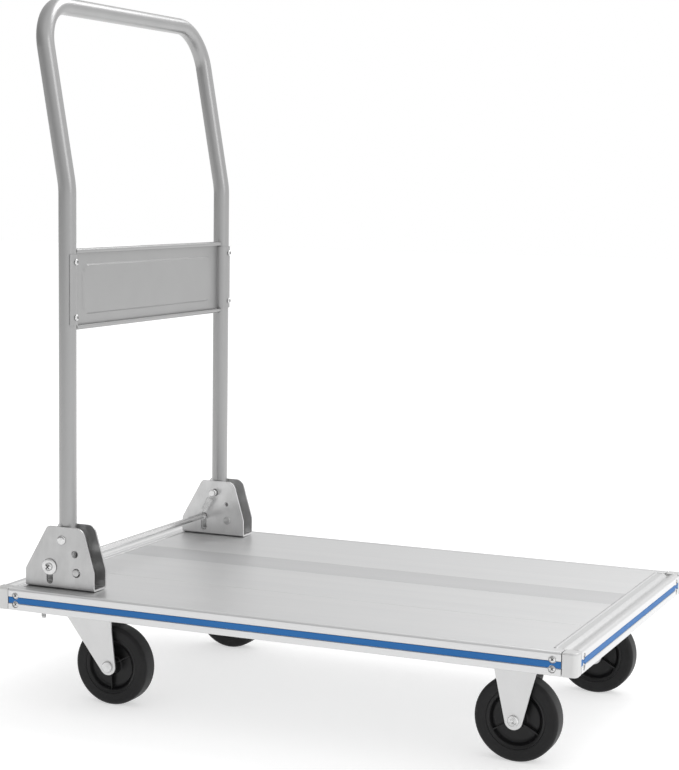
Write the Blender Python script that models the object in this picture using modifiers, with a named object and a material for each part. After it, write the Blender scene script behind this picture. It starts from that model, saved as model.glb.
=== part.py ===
"""Folding platform cart.

An aluminium plank deck on two fixed and two swivel casters, with a U-shaped tube handle that
stands in two channel brackets at the rear end and folds forward, down over the deck.  A spring-held
lock bar runs across between the brackets.

Axes: +X forward (away from the handle), +Y to the left, +Z up.  The origin is on the floor under
the middle of the deck.  All numbers are millimetres, and MM turns them into Blender's metres.
"right" is the -Y side and "left" the +Y side, as for a person who pushes the cart.
"""

import bpy
import bmesh
from math import acos, atan2, cos, hypot, pi, radians, sin, tan
from mathutils import Matrix, Vector

MM = 0.001
GAP = 0.3                      # room left between pieces that touch
RIGHT, LEFT = -1, 1
SIDES = {"right": RIGHT, "left": LEFT}
ENDS = {"rear": -1, "front": 1}

# deck
DECK_LENGTH = 740.0
DECK_WIDTH = 480.0
DECK_TOP = 150.0
EDGE_DEPTH = 27.0
PLANK_DEPTH = 19.7
PLANK_TOP = DECK_TOP - 0.3
WALL = 2.0
CORNER = 17.6                  # side of the square that each corner block fills
RAIL_WIDTH = 31.7
SEAMS = (-107.0, 15.0, 78.0)   # Y of the joints between the four planks
CELL = 30.0                    # largest width of a hollow chamber in a plank
SLOT_LOW, SLOT_HIGH, SLOT_DEPTH = 131.5, 139.5, 1.6
STRIP_THICK = 0.8
TONGUE = 20.0

# handle
TUBE_RADIUS = 10.75
TUBE_WALL = 1.5
LEG_X, LEG_Y = -290.0, 202.0
PIVOT_Z = 211.0
FOOT = 31.5                    # length of tube below the pivot
BEND_Z = 640.0                 # above this the legs lean back
LEAN = 10.0                    # degrees
HANDLE_TOP = 860.5             # centre of the grip bar
BEND_RADIUS = 110.0
GRIP_RADIUS = 55.0
TUBE_TURN = radians(6)         # turns the facets, so that no screw hole falls on the edge of one

# handle panel
PANEL_Z = 516.5
PANEL_HALF = 49.0
FLANGE_HALF = 43.0
SHEET = 1.2
LIP_RADIUS = 3.0
PANEL_SCREW_RISE = 33.5

# brackets and lock
BRACKET_INNER, BRACKET_OUTER = 187.0, 217.0
BRACKET_SHEET = 2.5
BRACKET_BASE = DECK_TOP + 0.6   # clear of the end rail's lip
BRACKET_OUTLINE = ((-341.5, BRACKET_BASE, 0), (-341.5, 172.5, 5), (-310.2, 227.5, 6),
                   (-260.7, 227.5, 12), (-244.5, 173.5, 10), (-244.5, BRACKET_BASE, 0))
LOCK_X, LOCK_Z, LOCK_RADIUS = -307.0, 177.0, 4.0
LOCK_TRAVEL = 16.5
STOP_X, STOP_Z = -270.0, 172.0
SPARE_HOLE_X, SPARE_HOLE_Z = -271.5, 195.0
SPRING_Y, COIL_RADIUS, WIRE_RADIUS, COIL_TURNS = 181.0, 3.8, 0.7, 6
BRACKET_BOLTS = {"rear": (-325.3, 108.0), "front": (-259.7, 124.0)}   # X, and Z of the tip

# casters
CASTER_Y = 162.0
WHEEL_RADIUS, WHEEL_WIDTH, CORE_RADIUS = 50.0, 26.0, 35.0
FIXED_X, SWIVEL_AXLE_X, SWIVEL_X = 281.0, -246.0, -276.0
PLATE_X, PLATE_Y, PLATE_THICK = 47.5, 33.0, 2.5
PLATE_TOP = DECK_TOP - 20.0 - GAP
PLATE_BOLT_X, PLATE_BOLT_Y = 37.0, 24.0
FORK_INSIDE, FORK_SHEET = 17.5, 2.5
CROWN_TOP = 120.4
AXLE_RADIUS = 4.4
KINGPIN_RADIUS = 5.0


# ---------------------------------------------------------------- scene and materials

def clear_scene():
    for obj in list(bpy.data.objects):
        bpy.data.objects.remove(obj, do_unlink=True)


def new_collection(name):
    collection = bpy.data.collections.new(name)
    bpy.context.scene.collection.children.link(collection)
    return collection


def make_material(name, colour, roughness, metallic):
    material = bpy.data.materials.new(name)
    material.use_nodes = True
    shader = material.node_tree.nodes["Principled BSDF"]
    shader.inputs["Base Color"].default_value = (*colour, 1.0)
    shader.inputs["Roughness"].default_value = roughness
    shader.inputs["Metallic"].default_value = metallic
    return material


clear_scene()
PARTS = new_collection("Folding platform cart")
CUTTERS = new_collection("Cutters")
CUTTERS.hide_render = True

ALUMINIUM = make_material("deck_aluminium", (0.74, 0.74, 0.75), 0.42, 1.0)
BLUE = make_material("blue_trim", (0.03, 0.18, 0.46), 0.45, 0.0)
SILVER_PAINT = make_material("silver_paint", (0.45, 0.45, 0.46), 0.38, 0.7)
ZINC = make_material("zinc_plate", (0.60, 0.61, 0.62), 0.35, 1.0)
BRIGHT_ZINC = make_material("bright_zinc", (0.72, 0.72, 0.72), 0.25, 1.0)
RUBBER = make_material("black_rubber", (0.018, 0.018, 0.019), 0.60, 0.0)
BLACK_PLASTIC = make_material("black_plastic", (0.014, 0.014, 0.015), 0.45, 0.0)


# ---------------------------------------------------------------- shaping tools

def link(name, data, material):
    obj = bpy.data.objects.new(name, data)
    if material:
        data.materials.append(material)
    PARTS.objects.link(obj)
    return obj


def box(name, low, high, material=None):
    """A block between two corners."""
    mesh = bpy.data.meshes.new(name)
    bm = bmesh.new()
    bmesh.ops.create_cube(bm, size=1.0)
    low, high = Vector(map(min, low, high)), Vector(map(max, low, high))
    size, middle = (high - low) * MM, (high + low) * MM / 2
    bmesh.ops.scale(bm, vec=size, verts=bm.verts)
    bmesh.ops.translate(bm, vec=middle, verts=bm.verts)
    bm.to_mesh(mesh)
    bm.free()
    return link(name, mesh, material)


def rod(name, radius, start, end, sides=12, material=None):
    """A round bar from one point to another."""
    start, end = Vector(start) * MM, Vector(end) * MM
    mesh = bpy.data.meshes.new(name)
    bm = bmesh.new()
    turn = (end - start).to_track_quat("Z", "Y").to_matrix().to_4x4()
    bmesh.ops.create_cone(bm, cap_ends=True, segments=sides, radius1=radius * MM, radius2=radius * MM,
                          depth=(end - start).length, matrix=Matrix.Translation((start + end) / 2) @ turn)
    bm.to_mesh(mesh)
    bm.free()
    obj = link(name, mesh, material)
    smooth(obj)
    return obj


def smooth(obj):
    obj.data.shade_smooth()
    obj.data.set_sharp_from_angle(angle=radians(35))


def turned(name, profile, place, material, side=0, steps=12, ring=False):
    """A turned piece.  The profile lists (radius, height) down its outer side; a ring's profile
    closes on itself.  The piece's own axis points up, or outwards to the given side."""
    mesh = bpy.data.meshes.new(name)
    edges = [(i, i + 1) for i in range(len(profile) - 1)]
    if ring:
        edges.append((len(profile) - 1, 0))
    mesh.from_pydata([(radius * MM, 0, height * MM) for radius, height in profile], edges, [])
    obj = link(name, mesh, material)
    obj.location = Vector(place) * MM
    obj.rotation_euler = (-side * pi / 2, 0, 0)
    screw = obj.modifiers.new("Turn", "SCREW")
    screw.steps = steps
    screw.render_steps = steps
    screw.use_merge_vertices = True
    screw.merge_threshold = 0.00001
    screw.use_smooth_shade = True
    return obj


def outline_piece(name, outlines, depth, material, place=(0, 0, 0), turn=(0, 0, 0)):
    """A flat outline, with any inner outlines as holes, pulled to the given depth."""
    curve = bpy.data.curves.new(name, "CURVE")
    curve.dimensions = "2D"
    curve.fill_mode = "BOTH"
    curve.extrude = depth / 2 * MM
    for points in outlines:
        spline = curve.splines.new("POLY")
        spline.points.add(len(points) - 1)
        for spot, (x, y) in zip(spline.points, points):
            spot.co = (x * MM, y * MM, 0, 1)
        spline.use_cyclic_u = True
    obj = link(name, curve, material)
    obj.location = Vector(place) * MM
    obj.rotation_euler = turn
    return obj


ALONG_X = (pi / 2, 0, pi / 2)    # outline drawn in Y and Z, pulled along X
ALONG_Y = (pi / 2, 0, 0)         # outline drawn in X and Z, pulled along Y
ALONG_Z = (0, 0, 0)              # outline drawn in X and Y, pulled along Z


def as_mesh(obj):
    """Turns a curve into a mesh in world space, with its caps welded on."""
    bpy.context.view_layer.update()
    evaluated = obj.evaluated_get(bpy.context.evaluated_depsgraph_get())
    mesh = bpy.data.meshes.new_from_object(evaluated)
    mesh.transform(obj.matrix_world)
    bm = bmesh.new()
    bm.from_mesh(mesh)
    bmesh.ops.remove_doubles(bm, verts=bm.verts, dist=0.000001)
    bm.to_mesh(mesh)
    bm.free()
    name = obj.name
    bpy.data.objects.remove(obj, do_unlink=True)
    return link(name, mesh, None)


def combine(obj, tool, operation):
    """Adds a Boolean modifier and puts its tool away with the cutters."""
    PARTS.objects.unlink(tool)
    CUTTERS.objects.link(tool)
    tool.hide_render = True
    tool.display_type = "WIRE"
    modifier = obj.modifiers.new(operation.title(), "BOOLEAN")
    modifier.object = tool
    modifier.operation = operation
    modifier.solver = "EXACT"


def cut(obj, tool):
    combine(obj, tool, "DIFFERENCE")


def join(obj, tool):
    combine(obj, tool, "UNION")


def axis_empty(name, place, parent=None):
    """An empty on a joint's axis."""
    empty = bpy.data.objects.new(name, None)
    PARTS.objects.link(empty)
    empty.location = Vector(place) * MM
    if parent:
        empty.location -= parent.location
        empty.parent = parent
    return empty


def world_of(empty):
    spot = empty.location.copy()
    return spot + empty.parent.location if empty.parent else spot


def hang(obj, empty):
    """Parents a piece to a joint's empty and leaves it where it is."""
    obj.parent = empty
    obj.matrix_parent_inverse = Matrix.Translation(world_of(empty)).inverted()


def arc(centre, radius, start, end, steps):
    """Points on an arc, in degrees, both ends included."""
    points = []
    for i in range(steps + 1):
        angle = radians(start + (end - start) * i / steps)
        points.append((centre[0] + radius * cos(angle), centre[1] + radius * sin(angle)))
    return points


def rounded(corners, steps=3):
    """A closed outline whose corners (x, y, radius) are rounded."""
    points = []
    count = len(corners)
    for i, (x, y, radius) in enumerate(corners):
        here = Vector((x, y))
        if not radius:
            points.append((x, y))
            continue
        back = (Vector(corners[i - 1][:2]) - here).normalized()
        on = (Vector(corners[(i + 1) % count][:2]) - here).normalized()
        half = back.angle(on) / 2
        centre = here + (back + on).normalized() * radius / sin(half)
        first = here + back * radius / tan(half) - centre
        last = here + on * radius / tan(half) - centre
        start = atan2(first.y, first.x)
        sweep = (atan2(last.y, last.x) - start + pi) % (2 * pi) - pi
        for k in range(steps + 1):
            angle = start + sweep * k / steps
            points.append((centre.x + radius * cos(angle), centre.y + radius * sin(angle)))
    return points


def rectangle(low, high):
    return [(low[0], low[1]), (high[0], low[1]), (high[0], high[1]), (low[0], high[1])]


def mirrored(points, sign):
    """The same outline, turned over about the vertical axis for a negative sign."""
    return [(sign * x, y) for x, y in points]


# ---------------------------------------------------------------- deck

def plank_cells(low, high):
    """Hollow chambers side by side between two Y values."""
    count = max(1, round((high - low) / CELL))
    pitch = (high - low - WALL) / count
    cells = []
    for i in range(count):
        start = low + WALL + i * pitch
        cells.append(rectangle((start, PLANK_TOP - PLANK_DEPTH + WALL), (start + pitch - WALL, PLANK_TOP - WALL)))
    return cells


def edge_outline(inner, outer_top):
    """The outer edge shared by side planks and end rails, from the top rim round to the inside
    foot, for an edge whose face is at the positive end of the drawing's first axis."""
    face, bottom = outer_top, DECK_TOP - EDGE_DEPTH
    points = arc((face - 3, DECK_TOP - 3), 3, 90, 0, 3)
    points += [(face, SLOT_HIGH), (face - SLOT_DEPTH, SLOT_HIGH),
               (face - SLOT_DEPTH, SLOT_LOW), (face, SLOT_LOW)]
    points += arc((face - 1.5, bottom + 1.5), 1.5, 0, -90, 2)
    points += [(face - CORNER, bottom), (face - CORNER, PLANK_TOP - PLANK_DEPTH),
               (inner, PLANK_TOP - PLANK_DEPTH)]
    return points


def edge_cell(face, top):
    """The hollow that the corner block's tongue goes into."""
    return rectangle((face - 15.4, DECK_TOP - EDGE_DEPTH + WALL), (face - 3.4, top))


def side_plank(name, side, seam):
    """An outer plank with the side edge, notched at its ends for the end rails."""
    face, inner = DECK_WIDTH / 2, side * seam + GAP / 2
    rim = face - 8
    outer = [(inner, PLANK_TOP), (rim - 0.5, PLANK_TOP), (rim, DECK_TOP)] + edge_outline(inner, face)
    cells = plank_cells(inner, face - CORNER) + [edge_cell(face, 148.0)]
    outlines = [mirrored(points, side) for points in [outer] + cells]
    length = DECK_LENGTH - 2 * CORNER - 2 * GAP
    plank = as_mesh(outline_piece(name, outlines, length, ALUMINIUM, turn=ALONG_X))
    for end in ENDS.values():
        notch_start = end * (DECK_LENGTH / 2 - RAIL_WIDTH - GAP)
        cut(plank, box(name + "_notch", (notch_start, side * (face - CORNER + 0.2), 110),
                       (end * DECK_LENGTH / 2, side * (inner - 5), 160)))
    for x, _ in BRACKET_BOLTS.values():
        cut(plank, rod(name + "_bolt_hole", 3.5, (x, side * LEG_Y, 125), (x, side * LEG_Y, 155)))
    return plank


def centre_plank(name, low, high):
    low, high = low + GAP / 2, high - GAP / 2
    outline = rectangle((low, PLANK_TOP - PLANK_DEPTH), (high, PLANK_TOP))
    length = DECK_LENGTH - 2 * RAIL_WIDTH - 2 * GAP
    return outline_piece(name, [outline] + plank_cells(low, high), length, ALUMINIUM, turn=ALONG_X)


def end_rail(name, end):
    """The rail across the planks' ends: an inner lip, a flat strip, a cove and a round outer edge."""
    face = DECK_LENGTH / 2
    inner = face - RAIL_WIDTH
    top = [(inner, PLANK_TOP), (inner + 0.8, DECK_TOP + 0.3), (inner + 2.6, DECK_TOP + 0.3),
           (inner + 3.6, PLANK_TOP), (face - 17, PLANK_TOP), (face - 13.5, DECK_TOP - 2.0),
           (face - 9.5, DECK_TOP - 2.0), (face - 6, DECK_TOP)]
    outer = top + edge_outline(inner, face)
    cells = [edge_cell(face, 145.5),
             rectangle((inner + WALL, DECK_TOP - 18), (face - CORNER - 0.5, DECK_TOP - 3))]
    outlines = [mirrored(points, end) for points in [outer] + cells]
    length = DECK_WIDTH - 2 * CORNER - 2 * GAP
    return outline_piece(name, outlines, length, ALUMINIUM, turn=ALONG_Y)


def corner_block(name, end, side):
    """A rounded block with a tongue into the side plank and one into the end rail."""
    x, y = DECK_LENGTH / 2, DECK_WIDTH / 2
    bottom = DECK_TOP - EDGE_DEPTH
    corners = [(end * (x - CORNER), side * (y - CORNER), 0), (end * x, side * (y - CORNER), 0),
               (end * x, side * y, 6), (end * (x - CORNER), side * y, 0)]
    block = as_mesh(outline_piece(name, [rounded(corners, 5)], EDGE_DEPTH, ALUMINIUM,
                                  place=(0, 0, bottom + EDGE_DEPTH / 2)))
    low, high = bottom + WALL + GAP, 145.2
    near, far = 15.1, 3.7
    join(block, box(name + "_side_tongue", (end * (x - CORNER + 1), side * (y - near), low),
                    (end * (x - CORNER - TONGUE), side * (y - far), high)))
    join(block, box(name + "_end_tongue", (end * (x - near), side * (y - CORNER + 1), low),
                    (end * (x - far), side * (y - CORNER - TONGUE), high)))
    block.data.materials.append(ALUMINIUM)
    return block


def build_deck():
    side_plank("side_plank_right", RIGHT, SEAMS[0])
    centre_plank("centre_plank_wide", SEAMS[0], SEAMS[1])
    centre_plank("centre_plank_narrow", SEAMS[1], SEAMS[2])
    side_plank("side_plank_left", LEFT, SEAMS[2])
    for end_name, end in ENDS.items():
        end_rail(f"end_rail_{end_name}", end)
        outside = DECK_LENGTH / 2 - SLOT_DEPTH + GAP
        half = DECK_WIDTH / 2 - CORNER - 2 * GAP
        box(f"trim_strip_{end_name}", (end * outside, -half, SLOT_LOW + GAP),
            (end * (outside + STRIP_THICK), half, SLOT_HIGH - GAP), BLUE)
        for side_name, side in SIDES.items():
            corner_block(f"corner_block_{end_name}_{side_name}", end, side)
    for side_name, side in SIDES.items():
        outside = DECK_WIDTH / 2 - SLOT_DEPTH + GAP
        half = DECK_LENGTH / 2 - CORNER - 2 * GAP
        box(f"trim_strip_{side_name}", (-half, side * outside, SLOT_LOW + GAP),
            (half, side * (outside + STRIP_THICK), SLOT_HIGH - GAP), BLUE)


# ---------------------------------------------------------------- brackets and lock

def bracket(name, side):
    """A channel folded from sheet, open at its ends and top, cut to a sloping outline."""
    low, high, top = BRACKET_INNER, BRACKET_OUTER, BRACKET_OUTLINE[2][1] + 5
    sheet, floor = BRACKET_SHEET, BRACKET_BASE
    channel = rounded([(low, top, 0), (low, floor, 3.5), (high, floor, 3.5), (high, top, 0),
                       (high - sheet, top, 0), (high - sheet, floor + sheet, 1),
                       (low + sheet, floor + sheet, 1), (low + sheet, top, 0)], 2)
    start, end = BRACKET_OUTLINE[0][0], BRACKET_OUTLINE[-1][0]
    obj = as_mesh(outline_piece(name, [mirrored(channel, side)], end - start + 10, ZINC,
                                place=((start + end) / 2, 0, 0), turn=ALONG_X))
    middle = side * LEG_Y
    side_shape = [(x, z if z > floor else floor - 5, r) for x, z, r in BRACKET_OUTLINE]
    combine(obj, as_mesh(outline_piece(name + "_shape", [rounded(side_shape)], 50, None,
                                       place=(0, middle, 0), turn=ALONG_Y)), "INTERSECT")
    for x, z, radius in ((LEG_X, PIVOT_Z, 5.0), (STOP_X, STOP_Z, 4.4), (SPARE_HOLE_X, SPARE_HOLE_Z, 4.6)):
        cut(obj, rod(name + "_hole", radius, (x, middle - 20, z), (x, middle + 20, z)))
    half_slot = LOCK_RADIUS + 0.5
    slot = arc((LOCK_X, LOCK_Z + 0.4), half_slot, 0, 180, 5)
    slot += arc((LOCK_X, LOCK_Z - LOCK_TRAVEL - 0.4), half_slot, 180, 360, 5)
    cut(obj, as_mesh(outline_piece(name + "_slot", [slot], 50, None, place=(0, middle, 0), turn=ALONG_Y)))
    for x, _ in BRACKET_BOLTS.values():
        cut(obj, rod(name + "_bolt_hole", 3.4, (x, middle, 145), (x, middle, 158)))
    obj.data.materials.append(ZINC)
    return obj


def pivot_pin(name, side):
    outer = BRACKET_OUTER + GAP
    profile = [(0, outer + 2.3), (3.2, outer + 1.9), (5.0, outer + 0.9), (5.5, outer), (4.6, outer),
               (4.6, SPRING_Y + 2.0), (3.6, SPRING_Y + 1.4), (3.6, SPRING_Y - 1.4),
               (4.6, SPRING_Y - 2.0), (4.6, SPRING_Y - 4.0), (0, SPRING_Y - 4.0)]
    return turned(name, profile, (LEG_X, 0, PIVOT_Z), BRIGHT_ZINC, side)


def stop_pin(name, side):
    outer, inner = BRACKET_OUTER + GAP, BRACKET_INNER - GAP
    profile = [(0, outer + 1.2), (5.2, outer + 0.9), (6, outer), (4, outer), (4, inner),
               (5.5, inner), (5.0, inner - 1.2), (0, inner - 1.5)]
    return turned(name, profile, (STOP_X, 0, STOP_Z), ZINC, side)


def bracket_bolt(name, x, tip, side):
    seat = BRACKET_BASE + BRACKET_SHEET + GAP
    profile = [(0, seat + 4), (4.6, seat + 4), (5, seat + 3.4), (5, seat), (2.95, seat),
               (2.95, tip + 1), (2.3, tip), (0, tip)]
    return turned(name, profile, (x, side * LEG_Y, 0), BRIGHT_ZINC, steps=12)


def lock_bar(empty):
    half = BRACKET_OUTER + 0.2
    bar = rod("lock_bar", LOCK_RADIUS, (LOCK_X, -half, LOCK_Z), (LOCK_X, half, LOCK_Z), 12, BRIGHT_ZINC)
    for side in SIDES.values():
        cut(bar, rod("lock_bar_bore", 2.6, (LOCK_X, side * (half - 16), LOCK_Z),
                     (LOCK_X, side * (half + 2), LOCK_Z), 12))
    hang(bar, empty)
    for side_name, side in SIDES.items():
        seat = half + GAP
        washer = turned(f"lock_washer_{side_name}", [(10, seat + 1.5), (10, seat), (2.9, seat), (2.9, seat + 1.5)],
                        (LOCK_X, 0, LOCK_Z), BRIGHT_ZINC, side, ring=True)
        head = seat + 1.5 + GAP
        screw = turned(f"lock_screw_{side_name}",
                       [(0, head + 2.9), (3.2, head + 2.6), (4.6, head + 1.6), (5.0, head), (2.2, head),
                        (2.2, head - 14), (0, head - 14)], (LOCK_X, 0, LOCK_Z), BRIGHT_ZINC, side)
        hang(washer, empty)
        hang(screw, empty)


def lock_spring(name, side, empty):
    """An extension spring hooked round the pivot pin's groove and round the lock bar."""
    pin, bar = Vector((LEG_X, 0, PIVOT_Z)), Vector((LOCK_X, 0, LOCK_Z))
    down = (bar - pin).normalized()
    across = Vector((down.z, 0, -down.x))
    out = Vector((0, 1, 0))
    top_hook, bottom_hook, hook_steps, steps = 5.2, 5.7, 7, 6
    points = []
    for i in range(hook_steps):
        angle = radians(290 * (1 - i / hook_steps))
        points.append(pin + top_hook * (cos(angle) * down + sin(angle) * across))
    start, end = top_hook + 0.8, (bar - pin).length - bottom_hook - 0.8
    total = COIL_TURNS * steps
    for i in range(total + 1):
        angle = 2 * pi * i / steps
        radius = COIL_RADIUS * min(1, i / 4, (total - i) / 4)
        centre = pin + down * (start + (end - start) * i / total)
        points.append(centre + radius * (cos(angle) * across + sin(angle) * out))
    for i in range(1, hook_steps + 1):
        angle = radians(290 * i / hook_steps)
        points.append(bar + bottom_hook * (-cos(angle) * down + sin(angle) * across))
    curve = bpy.data.curves.new(name, "CURVE")
    curve.dimensions = "3D"
    curve.bevel_depth = WIRE_RADIUS * MM
    curve.bevel_resolution = 0
    curve.use_fill_caps = True
    spline = curve.splines.new("POLY")
    spline.points.add(len(points) - 1)
    for spot, point in zip(spline.points, points):
        spot.co = (*((point + side * SPRING_Y * out) * MM), 1)
    spring = link(name, curve, BRIGHT_ZINC)
    hang(spring, empty)
    return spring


def build_brackets(lock_empty):
    for side_name, side in SIDES.items():
        bracket(f"handle_bracket_{side_name}", side)
        pivot_pin(f"pivot_pin_{side_name}", side)
        stop_pin(f"stop_pin_{side_name}", side)
        for end_name, (x, tip) in BRACKET_BOLTS.items():
            bracket_bolt(f"bracket_bolt_{end_name}_{side_name}", x, tip, side)
        lock_spring(f"lock_spring_{side_name}", side, lock_empty)
    lock_bar(lock_empty)


# ---------------------------------------------------------------- handle

def fillet(before, corner, after, radius, steps):
    """Points of a round bend between two straight runs in space."""
    back, on = (before - corner).normalized(), (after - corner).normalized()
    half = back.angle(on) / 2
    centre = corner + (back + on).normalized() * radius / sin(half)
    first = (corner + back * radius / tan(half) - centre).normalized()
    last = (corner + on * radius / tan(half) - centre).normalized()
    return [centre + first.slerp(last, i / steps) * radius for i in range(steps + 1)]


def handle_tube():
    rise = HANDLE_TOP - BEND_Z
    top_x = LEG_X - rise * tan(radians(LEAN))
    route = [Vector((LEG_X, -LEG_Y, PIVOT_Z - FOOT)), Vector((LEG_X, -LEG_Y, BEND_Z)),
             Vector((top_x, -LEG_Y, HANDLE_TOP)), Vector((top_x, LEG_Y, HANDLE_TOP)),
             Vector((LEG_X, LEG_Y, BEND_Z)), Vector((LEG_X, LEG_Y, PIVOT_Z - FOOT))]
    bends = [(BEND_RADIUS, 2), (GRIP_RADIUS, 6), (GRIP_RADIUS, 6), (BEND_RADIUS, 2)]
    points = [route[0]]
    for i, (radius, steps) in enumerate(bends, start=1):
        points += fillet(route[i - 1], route[i], route[i + 1], radius, steps)
    points.append(route[-1])
    curve = bpy.data.curves.new("handle_tube", "CURVE")
    curve.dimensions = "3D"
    curve.bevel_depth = TUBE_RADIUS * MM
    curve.bevel_resolution = 5
    spline = curve.splines.new("POLY")
    spline.points.add(len(points) - 1)
    for spot, point in zip(spline.points, points):
        spot.co = (*(point * MM), 1)
        spot.tilt = TUBE_TURN
    tube = as_mesh(link("handle_tube", curve, SILVER_PAINT))
    wall = tube.modifiers.new("Wall", "SOLIDIFY")
    wall.thickness = TUBE_WALL * MM
    wall.offset = -1
    cut(tube, rod("handle_tube_pivot_hole", 5.1, (LEG_X, -230, PIVOT_Z), (LEG_X, 230, PIVOT_Z)))
    return tube


def handle_panel():
    """A sheet between the legs, rolled forward along its top and bottom; its ends wrap round the
    front of the legs."""
    wrap = TUBE_RADIUS + 0.5 + SHEET / 2
    half = LEG_Y - wrap
    low, high = PANEL_Z - FLANGE_HALF, PANEL_Z + FLANGE_HALF
    roll_low, roll_high = PANEL_Z - PANEL_HALF + LIP_RADIUS, PANEL_Z + PANEL_HALF - LIP_RADIUS
    profile = [(LEG_X + 2 * LIP_RADIUS, roll_low + 1.5)]
    profile += arc((LEG_X + LIP_RADIUS, roll_low), LIP_RADIUS, 0, -180, 4)
    profile += [(LEG_X, low), (LEG_X, high)]
    profile += arc((LEG_X + LIP_RADIUS, roll_high), LIP_RADIUS, 180, 0, 4)
    profile += [(LEG_X + 2 * LIP_RADIUS, roll_high - 1.5)]
    mesh = bpy.data.meshes.new("handle_panel")
    bm = bmesh.new()
    chain = [bm.verts.new(Vector((x, -half, z)) * MM) for x, z in profile]
    edges = [bm.edges.new(pair) for pair in zip(chain, chain[1:])]
    swept = bmesh.ops.extrude_edge_only(bm, edges=edges)["geom"]
    moved = [item for item in swept if isinstance(item, bmesh.types.BMVert)]
    bmesh.ops.translate(bm, vec=(0, 2 * half * MM, 0), verts=moved)
    steps = 8
    for side in (RIGHT, LEFT):
        edge = next(edge for edge in bm.edges
                    if all(abs(v.co.y - side * half * MM) < 1e-6 and abs(v.co.x - LEG_X * MM) < 1e-6
                           and min(abs(v.co.z - low * MM), abs(v.co.z - high * MM)) < 1e-6 for v in edge.verts))
        for i in range(1, steps + 1):
            angle = radians(90 - 136 * i / steps)
            spot = (LEG_X + wrap * cos(angle), side * (LEG_Y - wrap * sin(angle)))
            grown = bmesh.ops.extrude_edge_only(bm, edges=[edge])["geom"]
            edge = next(item for item in grown if isinstance(item, bmesh.types.BMEdge))
            for vert in edge.verts:
                vert.co.x, vert.co.y = spot[0] * MM, spot[1] * MM
    bmesh.ops.recalc_face_normals(bm, faces=bm.faces)
    bm.to_mesh(mesh)
    bm.free()
    panel = link("handle_panel", mesh, SILVER_PAINT)
    sheet = panel.modifiers.new("Sheet", "SOLIDIFY")
    sheet.thickness = SHEET * MM
    sheet.offset = 0
    return panel


def panel_screw(name, side, height):
    """A round-headed screw through the panel's wrap into the front of the leg."""
    seat = TUBE_RADIUS + 0.5 + SHEET + GAP
    profile = [(0, seat + 2.4), (2.4, seat + 2.0), (3.6, seat + 1.0), (4.0, seat), (1.9, seat),
               (1.9, seat - 6), (0, seat - 6)]
    screw = turned(name, profile, (LEG_X, side * LEG_Y, height), BRIGHT_ZINC, steps=12)
    screw.rotation_euler = (0, pi / 2, 0)
    return screw


def build_handle(empty):
    tube, panel = handle_tube(), handle_panel()
    hang(tube, empty)
    hang(panel, empty)
    for side_name, side in SIDES.items():
        for level_name, level in (("upper", 1), ("lower", -1)):
            height = PANEL_Z + level * PANEL_SCREW_RISE
            hang(panel_screw(f"panel_screw_{level_name}_{side_name}", side, height), empty)
            for piece in (tube, panel):
                cut(piece, rod("panel_screw_hole", 2.3, (LEG_X + 5, side * LEG_Y, height),
                               (LEG_X + 20, side * LEG_Y, height), 10))


# ---------------------------------------------------------------- casters

def leg_outline(left, right, top, axle_x):
    """A fork leg: two straight edges that run down to a round end about the axle."""
    centre, radius = (axle_x, WHEEL_RADIUS), 10.6
    angles = []
    for x, turn in ((left, 1), (right, -1)):
        dx, dz = x - centre[0], top - centre[1]
        angles.append(atan2(dz, dx) + turn * acos(radius / hypot(dx, dz)))
    start, end = (angle * 180 / pi for angle in angles)
    return [(right, top), (left, top)] + arc(centre, radius, start, end + 360, 8)


def add_legs(fork, outline, side, axle_x):
    for leg in (-1, 1):
        middle = side * CASTER_Y + leg * (FORK_INSIDE + FORK_SHEET / 2)
        join(fork, as_mesh(outline_piece(fork.name + "_leg", [outline], FORK_SHEET, None,
                                         place=(0, middle, 0), turn=ALONG_Y)))
    y = side * CASTER_Y
    cut(fork, rod(fork.name + "_axle_hole", AXLE_RADIUS + 0.4, (axle_x, y - 25, WHEEL_RADIUS),
                  (axle_x, y + 25, WHEEL_RADIUS)))


def mounting_plate(name, x, side):
    y, bottom = side * CASTER_Y, PLATE_TOP - PLATE_THICK
    corners = [(x + dx * PLATE_X, y + dy * PLATE_Y, 6) for dx, dy in ((1, 1), (-1, 1), (-1, -1), (1, -1))]
    plate = as_mesh(outline_piece(name, [rounded(corners, 3)], PLATE_THICK, ZINC,
                                  place=(0, 0, bottom + PLATE_THICK / 2)))
    plate.data.materials.append(ZINC)
    for dx in (-1, 1):
        for dy in (-1, 1):
            spot = (x + dx * PLATE_BOLT_X, y + dy * PLATE_BOLT_Y)
            cut(plate, rod(name + "_hole", 4.2, (*spot, bottom - 5), (*spot, PLATE_TOP + 5), 12))
    return plate


def axle(name, x, side, spun_end_outside, empty):
    """A rivet: a flat round head on one side, a spun-over end on the other."""
    seat = FORK_INSIDE + FORK_SHEET + GAP
    profile = [(0, seat + 2), (6.4, seat + 2), (7, seat + 1.3), (7, seat), (AXLE_RADIUS, seat),
               (AXLE_RADIUS, -seat), (6.6, -seat), (5.8, -seat - 1.6), (0, -seat - 1.8)]
    outward = -side if spun_end_outside else side
    rivet = turned(name, profile, (x, side * CASTER_Y, WHEEL_RADIUS), BRIGHT_ZINC, outward)
    if empty:
        hang(rivet, empty)
    return rivet


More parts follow.
